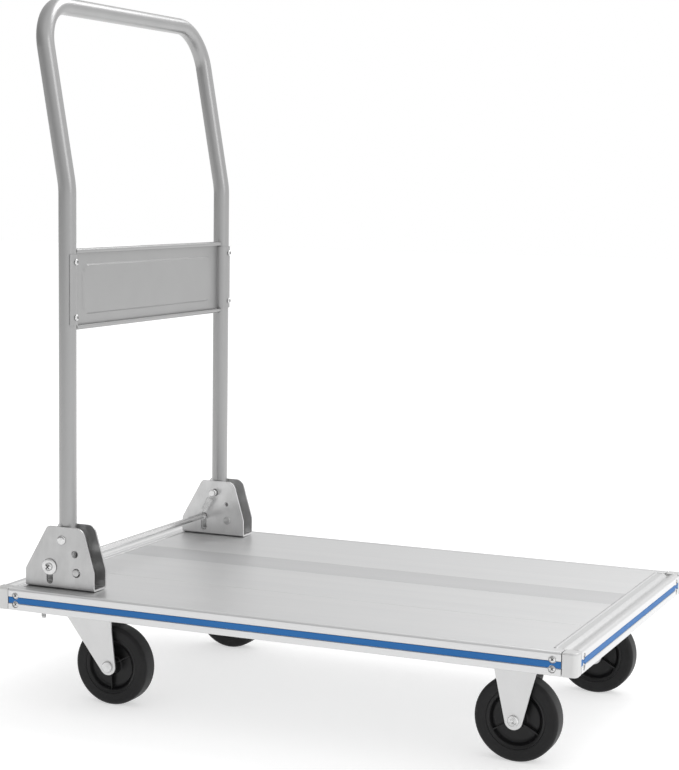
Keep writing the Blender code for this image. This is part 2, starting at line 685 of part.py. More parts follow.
def wheel(kind, side_name, x, side, parent):
    """A dished core with a long hub, and a solid tyre moulded round it."""
    place = (x, side * CASTER_Y, WHEEL_RADIUS)
    empty = axis_empty(f"{kind}_wheel_axis_{side_name}", place, parent)
    bore, half, r = AXLE_RADIUS + 0.4, WHEEL_WIDTH / 2, CORE_RADIUS
    hub = FORK_INSIDE - 1
    core = [(r, half - 1), (r, 1 - half), (r - 4, 1 - half), (r - 6, -5), (11, -5), (10, -hub), (bore, -hub),
            (bore, hub), (10, hub), (11, 5), (r - 6, 5), (r - 4, half - 1)]
    inside = r + GAP
    tyre = [(WHEEL_RADIUS - 5, half), (WHEEL_RADIUS, half - 6), (WHEEL_RADIUS, 6 - half), (WHEEL_RADIUS - 5, -half),
            (inside, 0.6 - half), (inside, half - 0.6)]
    hang(turned(f"{kind}_wheel_core_{side_name}", core, place, BLACK_PLASTIC, side, 20, ring=True), empty)
    hang(turned(f"{kind}_tyre_{side_name}", tyre, place, RUBBER, side, 20, ring=True), empty)


def fixed_caster(side_name, side):
    name = f"fixed_fork_{side_name}"
    fork = mounting_plate(name, FIXED_X, side)
    top = PLATE_TOP - PLATE_THICK / 2
    add_legs(fork, leg_outline(FIXED_X - 27.5, FIXED_X + 29.5, top, FIXED_X), side, FIXED_X)
    axle(f"fixed_axle_{side_name}", FIXED_X, side, True, None)
    wheel("fixed", side_name, FIXED_X, side, None)


def swivel_caster(side_name, side):
    y = side * CASTER_Y
    name = f"swivel_plate_{side_name}"
    plate = mounting_plate(name, SWIVEL_X, side)
    bottom = PLATE_TOP - PLATE_THICK
    cup = [(0, bottom + 1), (27, bottom + 1), (27, bottom - 1), (24.5, CROWN_TOP + 2.4), (0, CROWN_TOP + 2.4)]
    join(plate, turned(name + "_cup", cup, (SWIVEL_X, y, 0), None, steps=16))
    cut(plate, rod(name + "_kingpin_hole", KINGPIN_RADIUS + 0.4, (SWIVEL_X, y, 110), (SWIVEL_X, y, 140)))
    turned(f"swivel_race_{side_name}", [(24, CROWN_TOP + 2.1), (24, CROWN_TOP + 0.3), (13, CROWN_TOP + 0.3),
                                        (13, CROWN_TOP + 2.1)], (SWIVEL_X, y, 0), BRIGHT_ZINC, steps=16, ring=True)
    crown_low = CROWN_TOP - FORK_SHEET
    turned(f"kingpin_{side_name}", [(0, PLATE_TOP - 0.2), (KINGPIN_RADIUS, PLATE_TOP - 0.2),
                                    (KINGPIN_RADIUS, crown_low - GAP), (9, crown_low - GAP),
                                    (8, crown_low - 3), (0, crown_low - 3.4)], (SWIVEL_X, y, 0), BRIGHT_ZINC)
    empty = axis_empty(f"swivel_axis_{side_name}", (SWIVEL_X, y, CROWN_TOP))
    half_x, half_y = 33.4, FORK_INSIDE + FORK_SHEET
    corners = [(SWIVEL_X + dx * half_x, y + dy * half_y, 2) for dx, dy in ((1, 1), (-1, 1), (-1, -1), (1, -1))]
    fork = as_mesh(outline_piece(f"swivel_fork_{side_name}", [rounded(corners)], FORK_SHEET, ZINC,
                                 place=(0, 0, crown_low + FORK_SHEET / 2)))
    fork.data.materials.append(ZINC)
    leg_top = CROWN_TOP - FORK_SHEET / 2
    add_legs(fork, leg_outline(SWIVEL_X - half_x + 1, SWIVEL_X + half_x - 1, leg_top, SWIVEL_AXLE_X),
             side, SWIVEL_AXLE_X)
    cut(fork, rod(fork.name + "_kingpin_hole", KINGPIN_RADIUS + 0.6, (SWIVEL_X, y, 112), (SWIVEL_X, y, 125)))
    hang(fork, empty)
    axle(f"swivel_axle_{side_name}", SWIVEL_AXLE_X, side, False, empty)
    wheel("swivel", side_name, SWIVEL_AXLE_X, side, empty)


# ---------------------------------------------------------------- whole cart

build_deck()
handle_axis = axis_empty("handle_fold_axis", (LEG_X, 0, PIVOT_Z))
lock_axis = axis_empty("lock_bar_axis", (LOCK_X, 0, LOCK_Z))
build_brackets(lock_axis)
build_handle(handle_axis)
for side_name, side in SIDES.items():
    fixed_caster(side_name, side)
    swivel_caster(side_name, side)
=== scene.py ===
# %% [markdown]
# # A folding platform cart
# This lesson dresses a packed mechanical model of a small warehouse cart: an aluminium plank deck
# on four casters, and a bent tube handle that folds down over it.  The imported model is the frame.
# It says where each piece is and how it moves, and every piece made here takes the place of one of
# its solids and rides on one of its bodies.

# %% Load the frame
from math import acos, atan2, cos, hypot, pi, radians, sin, tan

import bmesh
import bpy
from mathutils import Matrix, Vector


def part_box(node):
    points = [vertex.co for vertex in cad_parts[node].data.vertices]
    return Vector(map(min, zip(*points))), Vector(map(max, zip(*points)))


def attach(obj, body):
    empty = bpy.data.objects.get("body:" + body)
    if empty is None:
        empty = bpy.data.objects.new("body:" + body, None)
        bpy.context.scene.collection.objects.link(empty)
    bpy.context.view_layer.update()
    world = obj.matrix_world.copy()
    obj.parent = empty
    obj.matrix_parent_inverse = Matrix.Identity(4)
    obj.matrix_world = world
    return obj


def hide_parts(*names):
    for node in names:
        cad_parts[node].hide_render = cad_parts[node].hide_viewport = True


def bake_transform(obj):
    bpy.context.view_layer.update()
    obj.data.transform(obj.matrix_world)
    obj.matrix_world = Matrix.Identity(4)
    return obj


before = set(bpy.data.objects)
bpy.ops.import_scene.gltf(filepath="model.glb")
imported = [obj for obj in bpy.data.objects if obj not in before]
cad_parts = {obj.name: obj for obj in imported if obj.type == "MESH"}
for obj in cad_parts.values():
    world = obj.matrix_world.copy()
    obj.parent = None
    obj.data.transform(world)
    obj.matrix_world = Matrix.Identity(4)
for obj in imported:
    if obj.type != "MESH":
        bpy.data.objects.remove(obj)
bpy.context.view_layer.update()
scene = bpy.context.scene

# %% [markdown]
# ## Measures
# A cart maker's drawing is in millimetres and Blender is in metres, so `mm` turns three
# millimetre numbers into a place.  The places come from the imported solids: the floor is at zero, X
# runs forward from the handle, and Y to the left of a person who pushes the cart.

# %% Millimetres
MM = 0.001
RIGHT, LEFT = -1, 1
SIDES = {"right": RIGHT, "left": LEFT}
ENDS = {"rear": -1, "front": 1}
ALONG_X, ALONG_Y, ALONG_Z = Vector((1, 0, 0)), Vector((0, 1, 0)), Vector((0, 0, 1))


def mm(x, y, z):
    return Vector((x, y, z)) * MM


def node_box(node):
    """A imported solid's lowest and highest corner, in millimetres."""
    low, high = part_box(node)
    return low / MM, high / MM


def node_middle(node):
    low, high = node_box(node)
    return (low + high) / 2


deck_low, deck_high = node_box("corner_block_rear_right")[0], node_box("corner_block_front_left")[1]
DECK_X, DECK_Y, DECK_TOP, DECK_BOTTOM = deck_high.x, deck_high.y, deck_high.z, deck_low.z
print("deck half length and width, top:", round(DECK_X, 1), round(DECK_Y, 1), round(DECK_TOP, 1))

# %% [markdown]
# ## Working in edit mode
# Everything below is shaped the way a person would do it: add a primitive, pick faces or edges, and
# run an edit-mode operator.  A script can't click, so `pick` selects by a test on each face, edge
# or vertex.  Operators act on all that is selected, so `let_go` clears the selection first.

# %% Selecting
def let_go():
    if bpy.context.object and bpy.context.object.mode != "OBJECT":
        bpy.ops.object.mode_set(mode="OBJECT")
    bpy.ops.object.select_all(action="DESELECT")


def take(piece):
    """Makes one object the selected and active one."""
    let_go()
    piece.select_set(True)
    bpy.context.view_layer.objects.active = piece


def edit(piece):
    take(piece)
    bpy.ops.object.mode_set(mode="EDIT")


def done():
    bpy.ops.object.mode_set(mode="OBJECT")


def pick_all():
    bpy.ops.mesh.select_all(action="SELECT")


def pick(kind, test):
    """Selects the faces, edges or verts of the piece in edit mode that pass a test."""
    bpy.ops.mesh.select_mode(type={"faces": "FACE", "edges": "EDGE", "verts": "VERT"}[kind])
    bpy.ops.mesh.select_all(action="DESELECT")
    shape = bmesh.from_edit_mesh(bpy.context.object.data)
    for item in getattr(shape, kind):
        if test(item):
            item.select_set(True)
    bmesh.update_edit_mesh(bpy.context.object.data)


def all_of(item, test):
    """True if every corner of an edge or face passes a test on its place in millimetres."""
    return all(test(vert.co / MM) for vert in item.verts)


def near(a, b, within=0.05):
    return abs(a - b) < within


# %% [markdown]
# ## Sections and turned pieces
# Most of this cart is either a section pushed along a line, as an aluminium profile leaves its die,
# or a profile spun round an axis, as on a lathe.  Both start from a plane that is merged to a single
# vertex, which is then extruded from point to point.  The section is filled and extruded; the
# lathe profile goes through Spin.

# %% Push
def adopt(name):
    """Names the primitive that was just added, and applies its place, turn and size."""
    piece = bpy.context.object
    piece.name = piece.data.name = name
    bpy.ops.object.transform_apply(location=True, rotation=True, scale=True)
    return piece


def start_point(name, place):
    let_go()
    bpy.ops.mesh.primitive_plane_add(size=MM, location=place)
    piece = adopt(name)
    bpy.ops.object.mode_set(mode="EDIT")
    bpy.ops.mesh.select_mode(type="VERT")
    pick_all()
    bpy.ops.mesh.merge(type="CENTER")
    return piece


def draw_through(points):
    for start, end in zip(points, points[1:]):
        bpy.ops.mesh.extrude_region_move(TRANSFORM_OT_translate={"value": end - start})
    pick_all()


def tidy_faces():
    pick_all()
    bpy.ops.mesh.remove_doubles(threshold=0.002 * MM)
    pick_all()
    bpy.ops.mesh.normals_make_consistent(inside=False)
    done()


def pushed(name, points, along):
    """A closed outline of places in metres, filled and extruded."""
    piece = start_point(name, points[0])
    draw_through(points)
    bpy.ops.mesh.edge_face_add()
    bpy.ops.mesh.extrude_region_move(TRANSFORM_OT_translate={"value": along})
    tidy_faces()
    return piece


# %% [markdown]
# Spin in a script turns a left-handed way, so `swing` gives it the opposite angle.  A lathe profile is
# a list of (radius, height) pairs, which is how a turner's drawing is dimensioned.

# %% Spin
def swing(centre, axis, angle, steps):
    """Spin, turning the selection by the right-hand rule."""
    bpy.ops.mesh.spin(steps=steps, angle=-angle, center=centre, axis=axis)


def turned(name, profile, centre, axis, steps=48):
    """A profile of (radius, height) pairs in millimetres, spun round an axis."""
    axis = Vector(axis).normalized()
    out = axis.cross(ALONG_X if abs(axis.x) < 0.5 else ALONG_Z).normalized()
    points = [centre + (axis * height + out * radius) * MM for radius, height in profile]
    piece = start_point(name, points[0])
    draw_through(points)
    swing(centre, axis, 2 * pi, steps)
    tidy_faces()
    return piece


# %% [markdown]
# Plain bars and plates start as a cube between two corners.  A dowel is a cylinder between two places,
# and is mostly the drill bit for a hole.

# %% Blocks and dowels
def block(name, low, high):
    """A cube between two corners in millimetres, its scale applied."""
    let_go()
    low, high = Vector(map(min, low, high)) * MM, Vector(map(max, low, high)) * MM
    bpy.ops.mesh.primitive_cube_add(size=1, location=(low + high) / 2, scale=high - low)
    return adopt(name)


def dowel(name, radius, start, end, vertices=32):
    let_go()
    start, end = Vector(start) * MM, Vector(end) * MM
    turn = (end - start).to_track_quat("Z", "Y").to_euler()
    bpy.ops.mesh.primitive_cylinder_add(vertices=vertices, radius=radius * MM, depth=(end - start).length,
                                        location=(start + end) / 2, rotation=turn)
    return adopt(name)


# %% [markdown]
# ## Finishing with modifiers
# Real metal has no knife edges: a small bevel catches a line of light along every edge, and that line
# is most of what makes a sheet-metal piece look real.  Modifiers add the bevels, the sheet thickness and
# the drilled holes, and each one is applied at once so that the mesh is final.  `shade` also weighs
# the normals by the size of the faces, so that a big flat wall stays flat beside its small bevels.

# %% Modifiers
def apply_modifier(piece, kind, **settings):
    """Adds a modifier with these settings and applies it."""
    modifier = piece.modifiers.new("Made final", kind)
    for setting, value in settings.items():
        setattr(modifier, setting, value)
    take(piece)
    bpy.ops.object.modifier_apply(modifier=modifier.name)


def drill(piece, tool, operation="DIFFERENCE"):
    """Cuts the tool out of the piece, or joins it on, and removes the tool."""
    apply_modifier(piece, "BOOLEAN", object=tool, operation=operation, solver="EXACT")
    bpy.data.objects.remove(tool, do_unlink=True)


def bore(piece, radius, start, end, vertices=32):
    """Drills a round hole between two places in millimetres."""
    drill(piece, dowel("hole", radius, start, end, vertices))


def thicken(piece, sheet, offset=-1.0):
    apply_modifier(piece, "SOLIDIFY", thickness=sheet * MM, offset=offset, use_even_offset=True)


def soften(piece, width, segments=2, angle=30):
    """Bevels every edge sharper than an angle."""
    apply_modifier(piece, "BEVEL", width=width * MM, segments=segments, limit_method="ANGLE",
                   angle_limit=radians(angle), use_clamp_overlap=True)


def shade(piece, angle=32):
    """Smooths across edges flatter than the angle, and keeps the big flat faces flat."""
    take(piece)
    bpy.ops.object.shade_smooth_by_angle(angle=radians(angle))
    apply_modifier(piece, "WEIGHTED_NORMAL", keep_sharp=True)


# %% [markdown]
# ## Outlines in plan
# Sheet-metal outlines have rounded corners of different radii.  `rounded` takes corners as
# (first, second, radius) and puts an arc at each, and `arc_points` gives a plain arc.

# %% Outlines
def arc_points(centre, radius, start, end, steps):
    points = []
    for i in range(steps + 1):
        angle = radians(start + (end - start) * i / steps)
        points.append((centre[0] + radius * cos(angle), centre[1] + radius * sin(angle)))
    return points


def rounded(corners, steps=6):
    points = []
    for i, (a, b, radius) in enumerate(corners):
        here = Vector((a, b))
        if not radius:
            points.append((a, b))
            continue
        back = (Vector(corners[i - 1][:2]) - here).normalized()
        on = (Vector(corners[(i + 1) % len(corners)][:2]) - here).normalized()
        half = back.angle(on) / 2
        centre = here + (back + on).normalized() * radius / sin(half)
        first = here + back * radius / tan(half) - centre
        last = here + on * radius / tan(half) - centre
        start = atan2(first.y, first.x)
        sweep = (atan2(last.y, last.x) - start + pi) % (2 * pi) - pi
        for k in range(steps + 1):
            angle = start + sweep * k / steps
            points.append((centre.x + radius * cos(angle), centre.y + radius * sin(angle)))
    return points


print("a square with one round corner has", len(rounded([(0, 0, 0), (9, 0, 0), (9, 9, 3), (0, 9, 0)])), "points")

# %% [markdown]
# ## Shared surface effects
# Three effects turn up on more than one finish, so each is a node group with its own inputs.
# *Drawn lines* are the fine lengthwise marks that a die leaves on a profile, or a belt on sheet:
# noise squeezed hard along one axis.  *Cloudy tone* is the slow change from light to dark of plated
# or painted metal.  *Fine grain* is the tiny unevenness that breaks up a highlight.

# %% Node groups
def new_group(name, inputs, outputs):
    group = bpy.data.node_groups.new(name, "ShaderNodeTree")
    for label, kind, value in inputs:
        socket = group.interface.new_socket(label, in_out="INPUT", socket_type=kind)
        socket.default_value = value
    for label, kind in outputs:
        group.interface.new_socket(label, in_out="OUTPUT", socket_type=kind)
    return group, group.nodes.new("NodeGroupInput"), group.nodes.new("NodeGroupOutput")


def ranged(tree, value, start, end, low, high, steps="LINEAR"):
    """A Map Range node that turns start to end into low to high."""
    node = tree.nodes.new("ShaderNodeMapRange")
    node.interpolation_type = steps
    for label, number in (("From Min", start), ("From Max", end), ("To Min", low), ("To Max", high)):
        node.inputs[label].default_value = number
    tree.links.new(value, node.inputs["Value"])
    return node.outputs["Result"]


def noise_mask(group, source, scale, detail, roughness=0.55):
    """Noise on a vector, spread over the full range from 0 to 1."""
    noise = group.nodes.new("ShaderNodeTexNoise")
    noise.inputs["Detail"].default_value = detail
    noise.inputs["Roughness"].default_value = roughness
    group.links.new(source, noise.inputs["Vector"])
    group.links.new(scale, noise.inputs["Scale"])
    return ranged(group, noise.outputs["Fac"], 0.3, 0.7, 0.0, 1.0)


def stretched_group(name, stretch, scale, detail):
    group, given, result = new_group(name, [("Stretch", "NodeSocketVector", stretch),
                                            ("Scale", "NodeSocketFloat", scale)],
                                     [("Mask", "NodeSocketFloat")])
    place = group.nodes.new("ShaderNodeTexCoord")
    stretched = group.nodes.new("ShaderNodeVectorMath")
    stretched.operation = "MULTIPLY"
    group.links.new(place.outputs["Object"], stretched.inputs[0])
    group.links.new(given.outputs["Stretch"], stretched.inputs[1])
    mask = noise_mask(group, stretched.outputs["Vector"], given.outputs["Scale"], detail)
    group.links.new(mask, result.inputs["Mask"])
    return group


drawn_lines = stretched_group("Drawn lines", (0.01, 1.0, 1.0), 900.0, 3)
cloudy_tone = stretched_group("Cloudy tone", (1.0, 1.0, 1.0), 14.0, 4)
fine_grain = stretched_group("Fine grain", (1.0, 1.0, 1.0), 1800.0, 2)
print("node groups:", len(bpy.data.node_groups))

# %% [markdown]
# ## Finishes
# Each finish is a Principled shader with two of those masks.  One mask tints the base colour between
# a light and a dark tone; the other shifts the roughness and drives a very small bump.  The numbers
# that are the same all over the surface stay on the shader's own sockets.  `grey` writes one
# tone as red, green and blue.

# %% A finish from two masks
def grey(tone):
    return tone, tone, tone


def finish(name, light, dark, metallic, rough_low, rough_high, tone, grain, bump, specular=0.5):
    """tone and grain are (group, stretch, scale); bump is a depth in millimetres."""
    material = bpy.data.materials.new(name)
    material.use_nodes = True
    nodes, links = material.node_tree.nodes, material.node_tree.links
    shader = nodes["Principled BSDF"]
    shader.inputs["Metallic"].default_value = metallic
    shader.inputs["Specular IOR Level"].default_value = specular
    masks = []
    for group, stretch, scale in (tone, grain):
        mask = nodes.new("ShaderNodeGroup")
        mask.node_tree = group
        mask.inputs["Stretch"].default_value = stretch
        mask.inputs["Scale"].default_value = scale
        masks.append(mask)
    tint = nodes.new("ShaderNodeMix")
    tint.data_type = "RGBA"
    tint.inputs["A"].default_value = (*dark, 1)
    tint.inputs["B"].default_value = (*light, 1)
    links.new(masks[0].outputs["Mask"], tint.inputs["Factor"])
    links.new(tint.outputs["Result"], shader.inputs["Base Color"])
    rough = ranged(material.node_tree, masks[1].outputs["Mask"], 0.0, 1.0, rough_low, rough_high)
    links.new(rough, shader.inputs["Roughness"])
    relief = nodes.new("ShaderNodeBump")
    relief.inputs["Distance"].default_value = bump * MM
    relief.inputs["Strength"].default_value = 0.6
    links.new(masks[1].outputs["Mask"], relief.inputs["Height"])
    links.new(relief.outputs["Normal"], shader.inputs["Normal"])
    return material


# %% [markdown]
# The deck is extruded aluminium with a satin skin: drawing lines run along each profile, so the planks
# and side edges have them along X and the end rails along Y.  A wider, fainter set of lines
# makes the soft light and dark bands that run the length of a plank.

# %% Deck finishes
ALONG_DECK, ACROSS_DECK = (0.012, 1.0, 1.0), (1.0, 0.012, 1.0)
LONG_BANDS = (0.002, 1.0, 1.0)
EVEN = (1.0, 1.0, 1.0)
plank_skin = finish("Satin aluminium, lines along the deck", grey(0.72), (0.692, 0.694, 0.697), 0.90, 0.34, 0.44,
                    (drawn_lines, LONG_BANDS, 34.0), (drawn_lines, ALONG_DECK, 1100.0), 0.010)
band_skin = finish("Satin aluminium, a shade darker", (0.625, 0.625, 0.63), (0.600, 0.602, 0.605), 0.90, 0.34, 0.44,
                   (drawn_lines, LONG_BANDS, 34.0), (drawn_lines, ALONG_DECK, 1100.0), 0.010)
rail_skin = finish("Satin aluminium, lines across the deck", grey(0.71), (0.69, 0.692, 0.695), 0.92, 0.29, 0.33,
                   (drawn_lines, (1.0, 0.002, 1.0), 34.0), (drawn_lines, ACROSS_DECK, 900.0), 0.001)
corner_skin = finish("Cast and satin corner", (0.64, 0.64, 0.635), grey(0.61), 0.86, 0.36, 0.46,
                     (cloudy_tone, EVEN, 40.0), (fine_grain, EVEN, 1600.0), 0.015)
blue_skin = finish("Blue trim plastic", (0.024, 0.152, 0.420), (0.020, 0.136, 0.385), 0.0, 0.46, 0.58,
                   (drawn_lines, (0.05, 1.0, 1.0), 60.0), (fine_grain, EVEN, 1500.0), 0.01, 0.25)

# %% [markdown]
# The handle is steel tube in silver paint: a grey base with metal flake, so it is part metal and
# rather rough, and its highlight is a broad soft streak.  The brackets and forks are zinc plated, which
# is brighter, slightly cloudy, and brushed upright.  Screws and pins are plated brighter still.

# %% Steel finishes
tube_skin = finish("Silver paint", grey(0.38), grey(0.355), 0.85, 0.28, 0.36,
                   (cloudy_tone, (1.0, 1.0, 0.15), 22.0), (fine_grain, EVEN, 2600.0), 0.012)
panel_skin = finish("Silver paint on sheet", grey(0.365), grey(0.35), 0.80, 0.32, 0.40,
                    (cloudy_tone, EVEN, 16.0), (fine_grain, EVEN, 2600.0), 0.012)
bracket_skin = finish("Zinc plate, brushed", grey(0.52), grey(0.45), 0.90, 0.28, 0.40,
                      (cloudy_tone, (1.0, 1.0, 0.6), 60.0), (drawn_lines, (1.0, 1.0, 0.03), 700.0), 0.015)
# A lighter copy of the brushed zinc for the far bracket: painted light, not a different plating.
far_bracket_lit_skin = finish("Zinc plate, brushed, painted lighter", grey(0.70), grey(0.60), 0.85, 0.28, 0.40,
                           (cloudy_tone, (1.0, 1.0, 0.6), 60.0), (drawn_lines, (1.0, 1.0, 0.03), 700.0), 0.015)
fork_skin = finish("Zinc plate, pale", grey(0.72), grey(0.69), 0.78, 0.36, 0.48,
                   (cloudy_tone, (1.0, 1.0, 0.7), 45.0), (fine_grain, EVEN, 1700.0), 0.012)
bright_skin = finish("Bright zinc", grey(0.70), grey(0.58), 1.0, 0.14, 0.24,
                     (cloudy_tone, EVEN, 160.0), (fine_grain, EVEN, 2200.0), 0.012)
spring_skin = finish("Nickel spring wire", grey(0.90), grey(0.82), 0.75, 0.20, 0.30,
                     (cloudy_tone, EVEN, 160.0), (fine_grain, EVEN, 2200.0), 0.005)
bar_skin = finish("Bright zinc bar", grey(0.72), grey(0.69), 1.0, 0.16, 0.22,
                  (drawn_lines, (1.0, 0.004, 1.0), 300.0), (drawn_lines, ACROSS_DECK, 1500.0), 0.008)

# %% [markdown]
# The wheels are black twice over: a matt rubber tyre and a slightly glossier moulded core.
# Black rubber is never pure black, and a little grey dust in the grain keeps its shape readable.

# %% Wheel finishes
tyre_skin = finish("Black rubber", (0.012, 0.012, 0.0125), (0.008, 0.008, 0.0085), 0.0, 0.42, 0.54,
                   (cloudy_tone, EVEN, 30.0), (fine_grain, EVEN, 1500.0), 0.02, 0.26)
core_skin = finish("Black moulded plastic", (0.010, 0.010, 0.0105), (0.006, 0.006, 0.0065), 0.0, 0.28, 0.38,
                   (cloudy_tone, EVEN, 30.0), (fine_grain, EVEN, 1700.0), 0.012, 0.30)
# Painted shade: a near-black finish for the floors of the cross recesses, where the plated metal only lies in shadow.
recess_painted_shade = finish("Painted shade of a recess", grey(0.05), grey(0.03), 0.3, 0.5, 0.7,
                     (cloudy_tone, EVEN, 30.0), (fine_grain, EVEN, 1700.0), 0.01)
print("materials:", len(bpy.data.materials))


# %% [markdown]
# ## Handing a piece over
# `settle` gives a finished mesh its material and smooth shading, says which body it moves with, and which
# imported solids it stands for.

# %% Settling a piece
def settle(piece, material, body, slot, *nodes, smooth=32):
    piece.data.materials.clear()
    piece.data.materials.append(material)
    shade(piece, smooth)
    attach(piece, body)
    if nodes:
        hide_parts(*nodes)
    return piece


# %% [markdown]
# ## The deck's edge
# All four sides of the deck share one edge: a rounded shoulder, an upright face with a slot for the blue
# strip, and a turned-in foot.  The section is drawn once, as (across, height) pairs, and used for the
# outer planks and in part for the end rails.

# %% Edge section
PLANK_TOP = node_box("centre_plank_wide")[1].z
PLANK_FOOT = node_box("centre_plank_wide")[0].z
SLOT_LOW, SLOT_HIGH, SLOT_DEPTH = 131.5, 139.5, 1.6
EDGE_WIDTH = 17.6


def edge_section(face):
    """From the top rim round the outside and under to the foot."""
    points = [(face - 8.6, PLANK_TOP), (face - 8.2, PLANK_TOP - 0.5), (face - 7.7, PLANK_TOP - 0.5)]
    points += [(face - 7.4, DECK_TOP - 0.15), (face - 7.0, DECK_TOP)]
    points += arc_points((face - 3, DECK_TOP - 3), 3, 90, 0, 6)
    return points + slot_and_foot(face)


def slot_and_foot(face):
    points = [(face, SLOT_HIGH + 0.8), (face - 0.25, SLOT_HIGH + 0.3), (face - 0.8, SLOT_HIGH),
              (face - SLOT_DEPTH, SLOT_HIGH)]
    points += [(face - SLOT_DEPTH, SLOT_LOW), (face - 0.8, SLOT_LOW), (face - 0.25, SLOT_LOW - 0.3),
               (face, SLOT_LOW - 0.8)]
    points += arc_points((face - 1.5, DECK_BOTTOM + 1.5), 1.5, 0, -90, 4)
    return points + [(face - EDGE_WIDTH, DECK_BOTTOM), (face - EDGE_WIDTH, PLANK_FOOT)]


print("points round the deck's edge:", len(edge_section(DECK_Y)))

# %% [markdown]
# Two screws pass through each face into each corner block, one above the blue strip and one below.
# Their heads lie sunk, so a shallow round pocket is drilled for each into whatever piece is there:
# plank, rail or strip.  A face is named "side" or "end", and its number is its sign along its axis.

# %% Pockets for the corner screws
POCKET_RADIUS, POCKET_DEPTH = 4.5, 1.7
SCREW_X, SCREW_Y = 342.0, 212.0
SCREW_HEIGHTS = {"upper": 141.0, "lower": 130.4}


def out_of(face, number):
    return (ALONG_Y if face == "side" else ALONG_X) * number


def screw_places(face, number):
    """Where the screws stand on one face: pairs of a place on its skin and a name."""
    places = []
    for end_name, end in (ENDS if face == "side" else SIDES).items():
        for level, height in SCREW_HEIGHTS.items():
            on_side = (end * SCREW_X, number * DECK_Y, height)
            on_end = (number * DECK_X, end * SCREW_Y, height)
            places.append((Vector(on_side if face == "side" else on_end), f"{level}_{end_name}"))
    return places


def pocket_for_screws(piece, face, number):
    out = out_of(face, number)
    for place, _ in screw_places(face, number):
        bore(piece, POCKET_RADIUS, place - out * POCKET_DEPTH, place + out * 3)


print("screws in each face:", len(screw_places("side", RIGHT)))

# %% [markdown]
# ## Outer planks
# Each outer plank is one extrusion, so its section is pushed along X.  Its ends are then notched where the
# end rails cross, with a slightly wider seam at the rear.

# %% Outer planks
SEAM = {"rear": 0.8, "front": 0.3}
RAIL_INNER = node_box("end_rail_front")[0].x
for side_name, side in SIDES.items():
    node = f"side_plank_{side_name}"
    low, high = node_box(node)
    inner = low.y if side == LEFT else -high.y
    section = [(inner, PLANK_FOOT), (inner, PLANK_TOP - 0.35), (inner + 0.35, PLANK_TOP)]
    section += edge_section(DECK_Y)
    plank = pushed(f"outer_plank_{side_name}", [mm(low.x, side * y, z) for y, z in section],
                   mm(high.x - low.x, 0, 0))
    for end_name, end in ENDS.items():
        notch_x, notch_y = RAIL_INNER - SEAM[end_name], DECK_Y - EDGE_WIDTH + 0.2
        drill(plank, block("notch", (end * notch_x, side * notch_y, 100),
                           (end * (DECK_X + 20), side * (inner - 20), 170)))
    pocket_for_screws(plank, "side", side)
    settle(plank, plank_skin, "deck", "deck_aluminium", node, smooth=28)
print("outer planks run", round(high.x - low.x, 1), "mm")

# %% [markdown]
# The two planks between are plain flat bars on top, and meet in thin seams.  Each starts as a cube, and its
# long upper edges get a bevel that makes the seam read as a fine line.  The narrow plank is given a darker
# copy of the satin finish.

# %% Centre planks
for name, node, skin in (("wide_plank", "centre_plank_wide", plank_skin),
                         ("narrow_plank", "centre_plank_narrow", band_skin)):
    low, high = node_box(node)
    plank = block(name, low + Vector((SEAM["rear"] - SEAM["front"], 0, 0)), high)
    edit(plank)
    pick("edges", lambda edge: all_of(edge, lambda co: near(co.z, PLANK_TOP)) and
         abs(edge.verts[0].co.x - edge.verts[1].co.x) > 0.1)
    bpy.ops.mesh.bevel(offset=0.35 * MM, segments=2, affect="EDGES")
    done()
    settle(plank, skin, "deck", "deck_aluminium", node)
    print(name, "is", round(high.y - low.y, 1), "mm wide")

# %% [markdown]
# ## End rails
# A rail closes each end of the deck.  Seen from above it has, from the inside out: a small lip that laps over
# the planks, a flat strip, a thin ridge, a soft cove and a round outer shoulder.  The cove is the
# dark sweep that the eye picks out, so it is drawn with enough points to shade smoothly.

# %% End rails
def cove(start, end, depth, steps):
    """A smooth dip between two places on the rail's top."""
    points = []
    for i in range(1, steps):
        share = i / steps
        dip = depth * sin(pi * share ** 0.8) ** 1.6
        points.append((start + (end - start) * share, DECK_TOP - 0.3 * (1 - share) - dip))
    return points


for end_name, end in ENDS.items():
    node = f"end_rail_{end_name}"
    low, high = node_box(node)
    inner = DECK_X - (high.x - low.x)
    section = [(inner, PLANK_FOOT), (inner, PLANK_TOP), (inner + 0.8, high.z - 0.05), (inner + 2.4, high.z - 0.05),
               (inner + 3.2, PLANK_TOP - 0.3), (inner + 9.6, PLANK_TOP - 0.3), (inner + 10.2, PLANK_TOP + 0.2),
               (inner + 11.4, PLANK_TOP + 0.2), (inner + 12.0, PLANK_TOP - 0.3)]
    section += cove(inner + 12.0, DECK_X - 7.0, 2.3, 14)
    section += [(DECK_X - 6.0, DECK_TOP)]
    section += arc_points((DECK_X - 4, DECK_TOP - 4), 4, 90, 0, 7)
    section += slot_and_foot(DECK_X)
    rail = pushed(f"{end_name}_rail", [mm(end * x, low.y, z) for x, z in section], mm(0, high.y - low.y, 0))
    pocket_for_screws(rail, "end", end)
    settle(rail, rail_skin, "deck", "deck_aluminium", node, smooth=24)
print("points in a rail's section:", len(section))

# %% [markdown]
# ## Corner blocks
# Each corner is a separate block.  Its plan is a square with one rounded corner, pushed up to the
# deck's height, and all its edges are softened.  Two Bisect cuts mark a thin band just under the top,
# which is sunk with Shrink/Fatten and draws the seam of the cap.

# %% Corner blocks
CAP_SEAM, CORNER_RADIUS = 148.7, 6


def slice_across(place, normal):
    """Bisect: a line of new edges where a plane meets the piece."""
    pick_all()
    bpy.ops.mesh.bisect(plane_co=place, plane_no=normal)


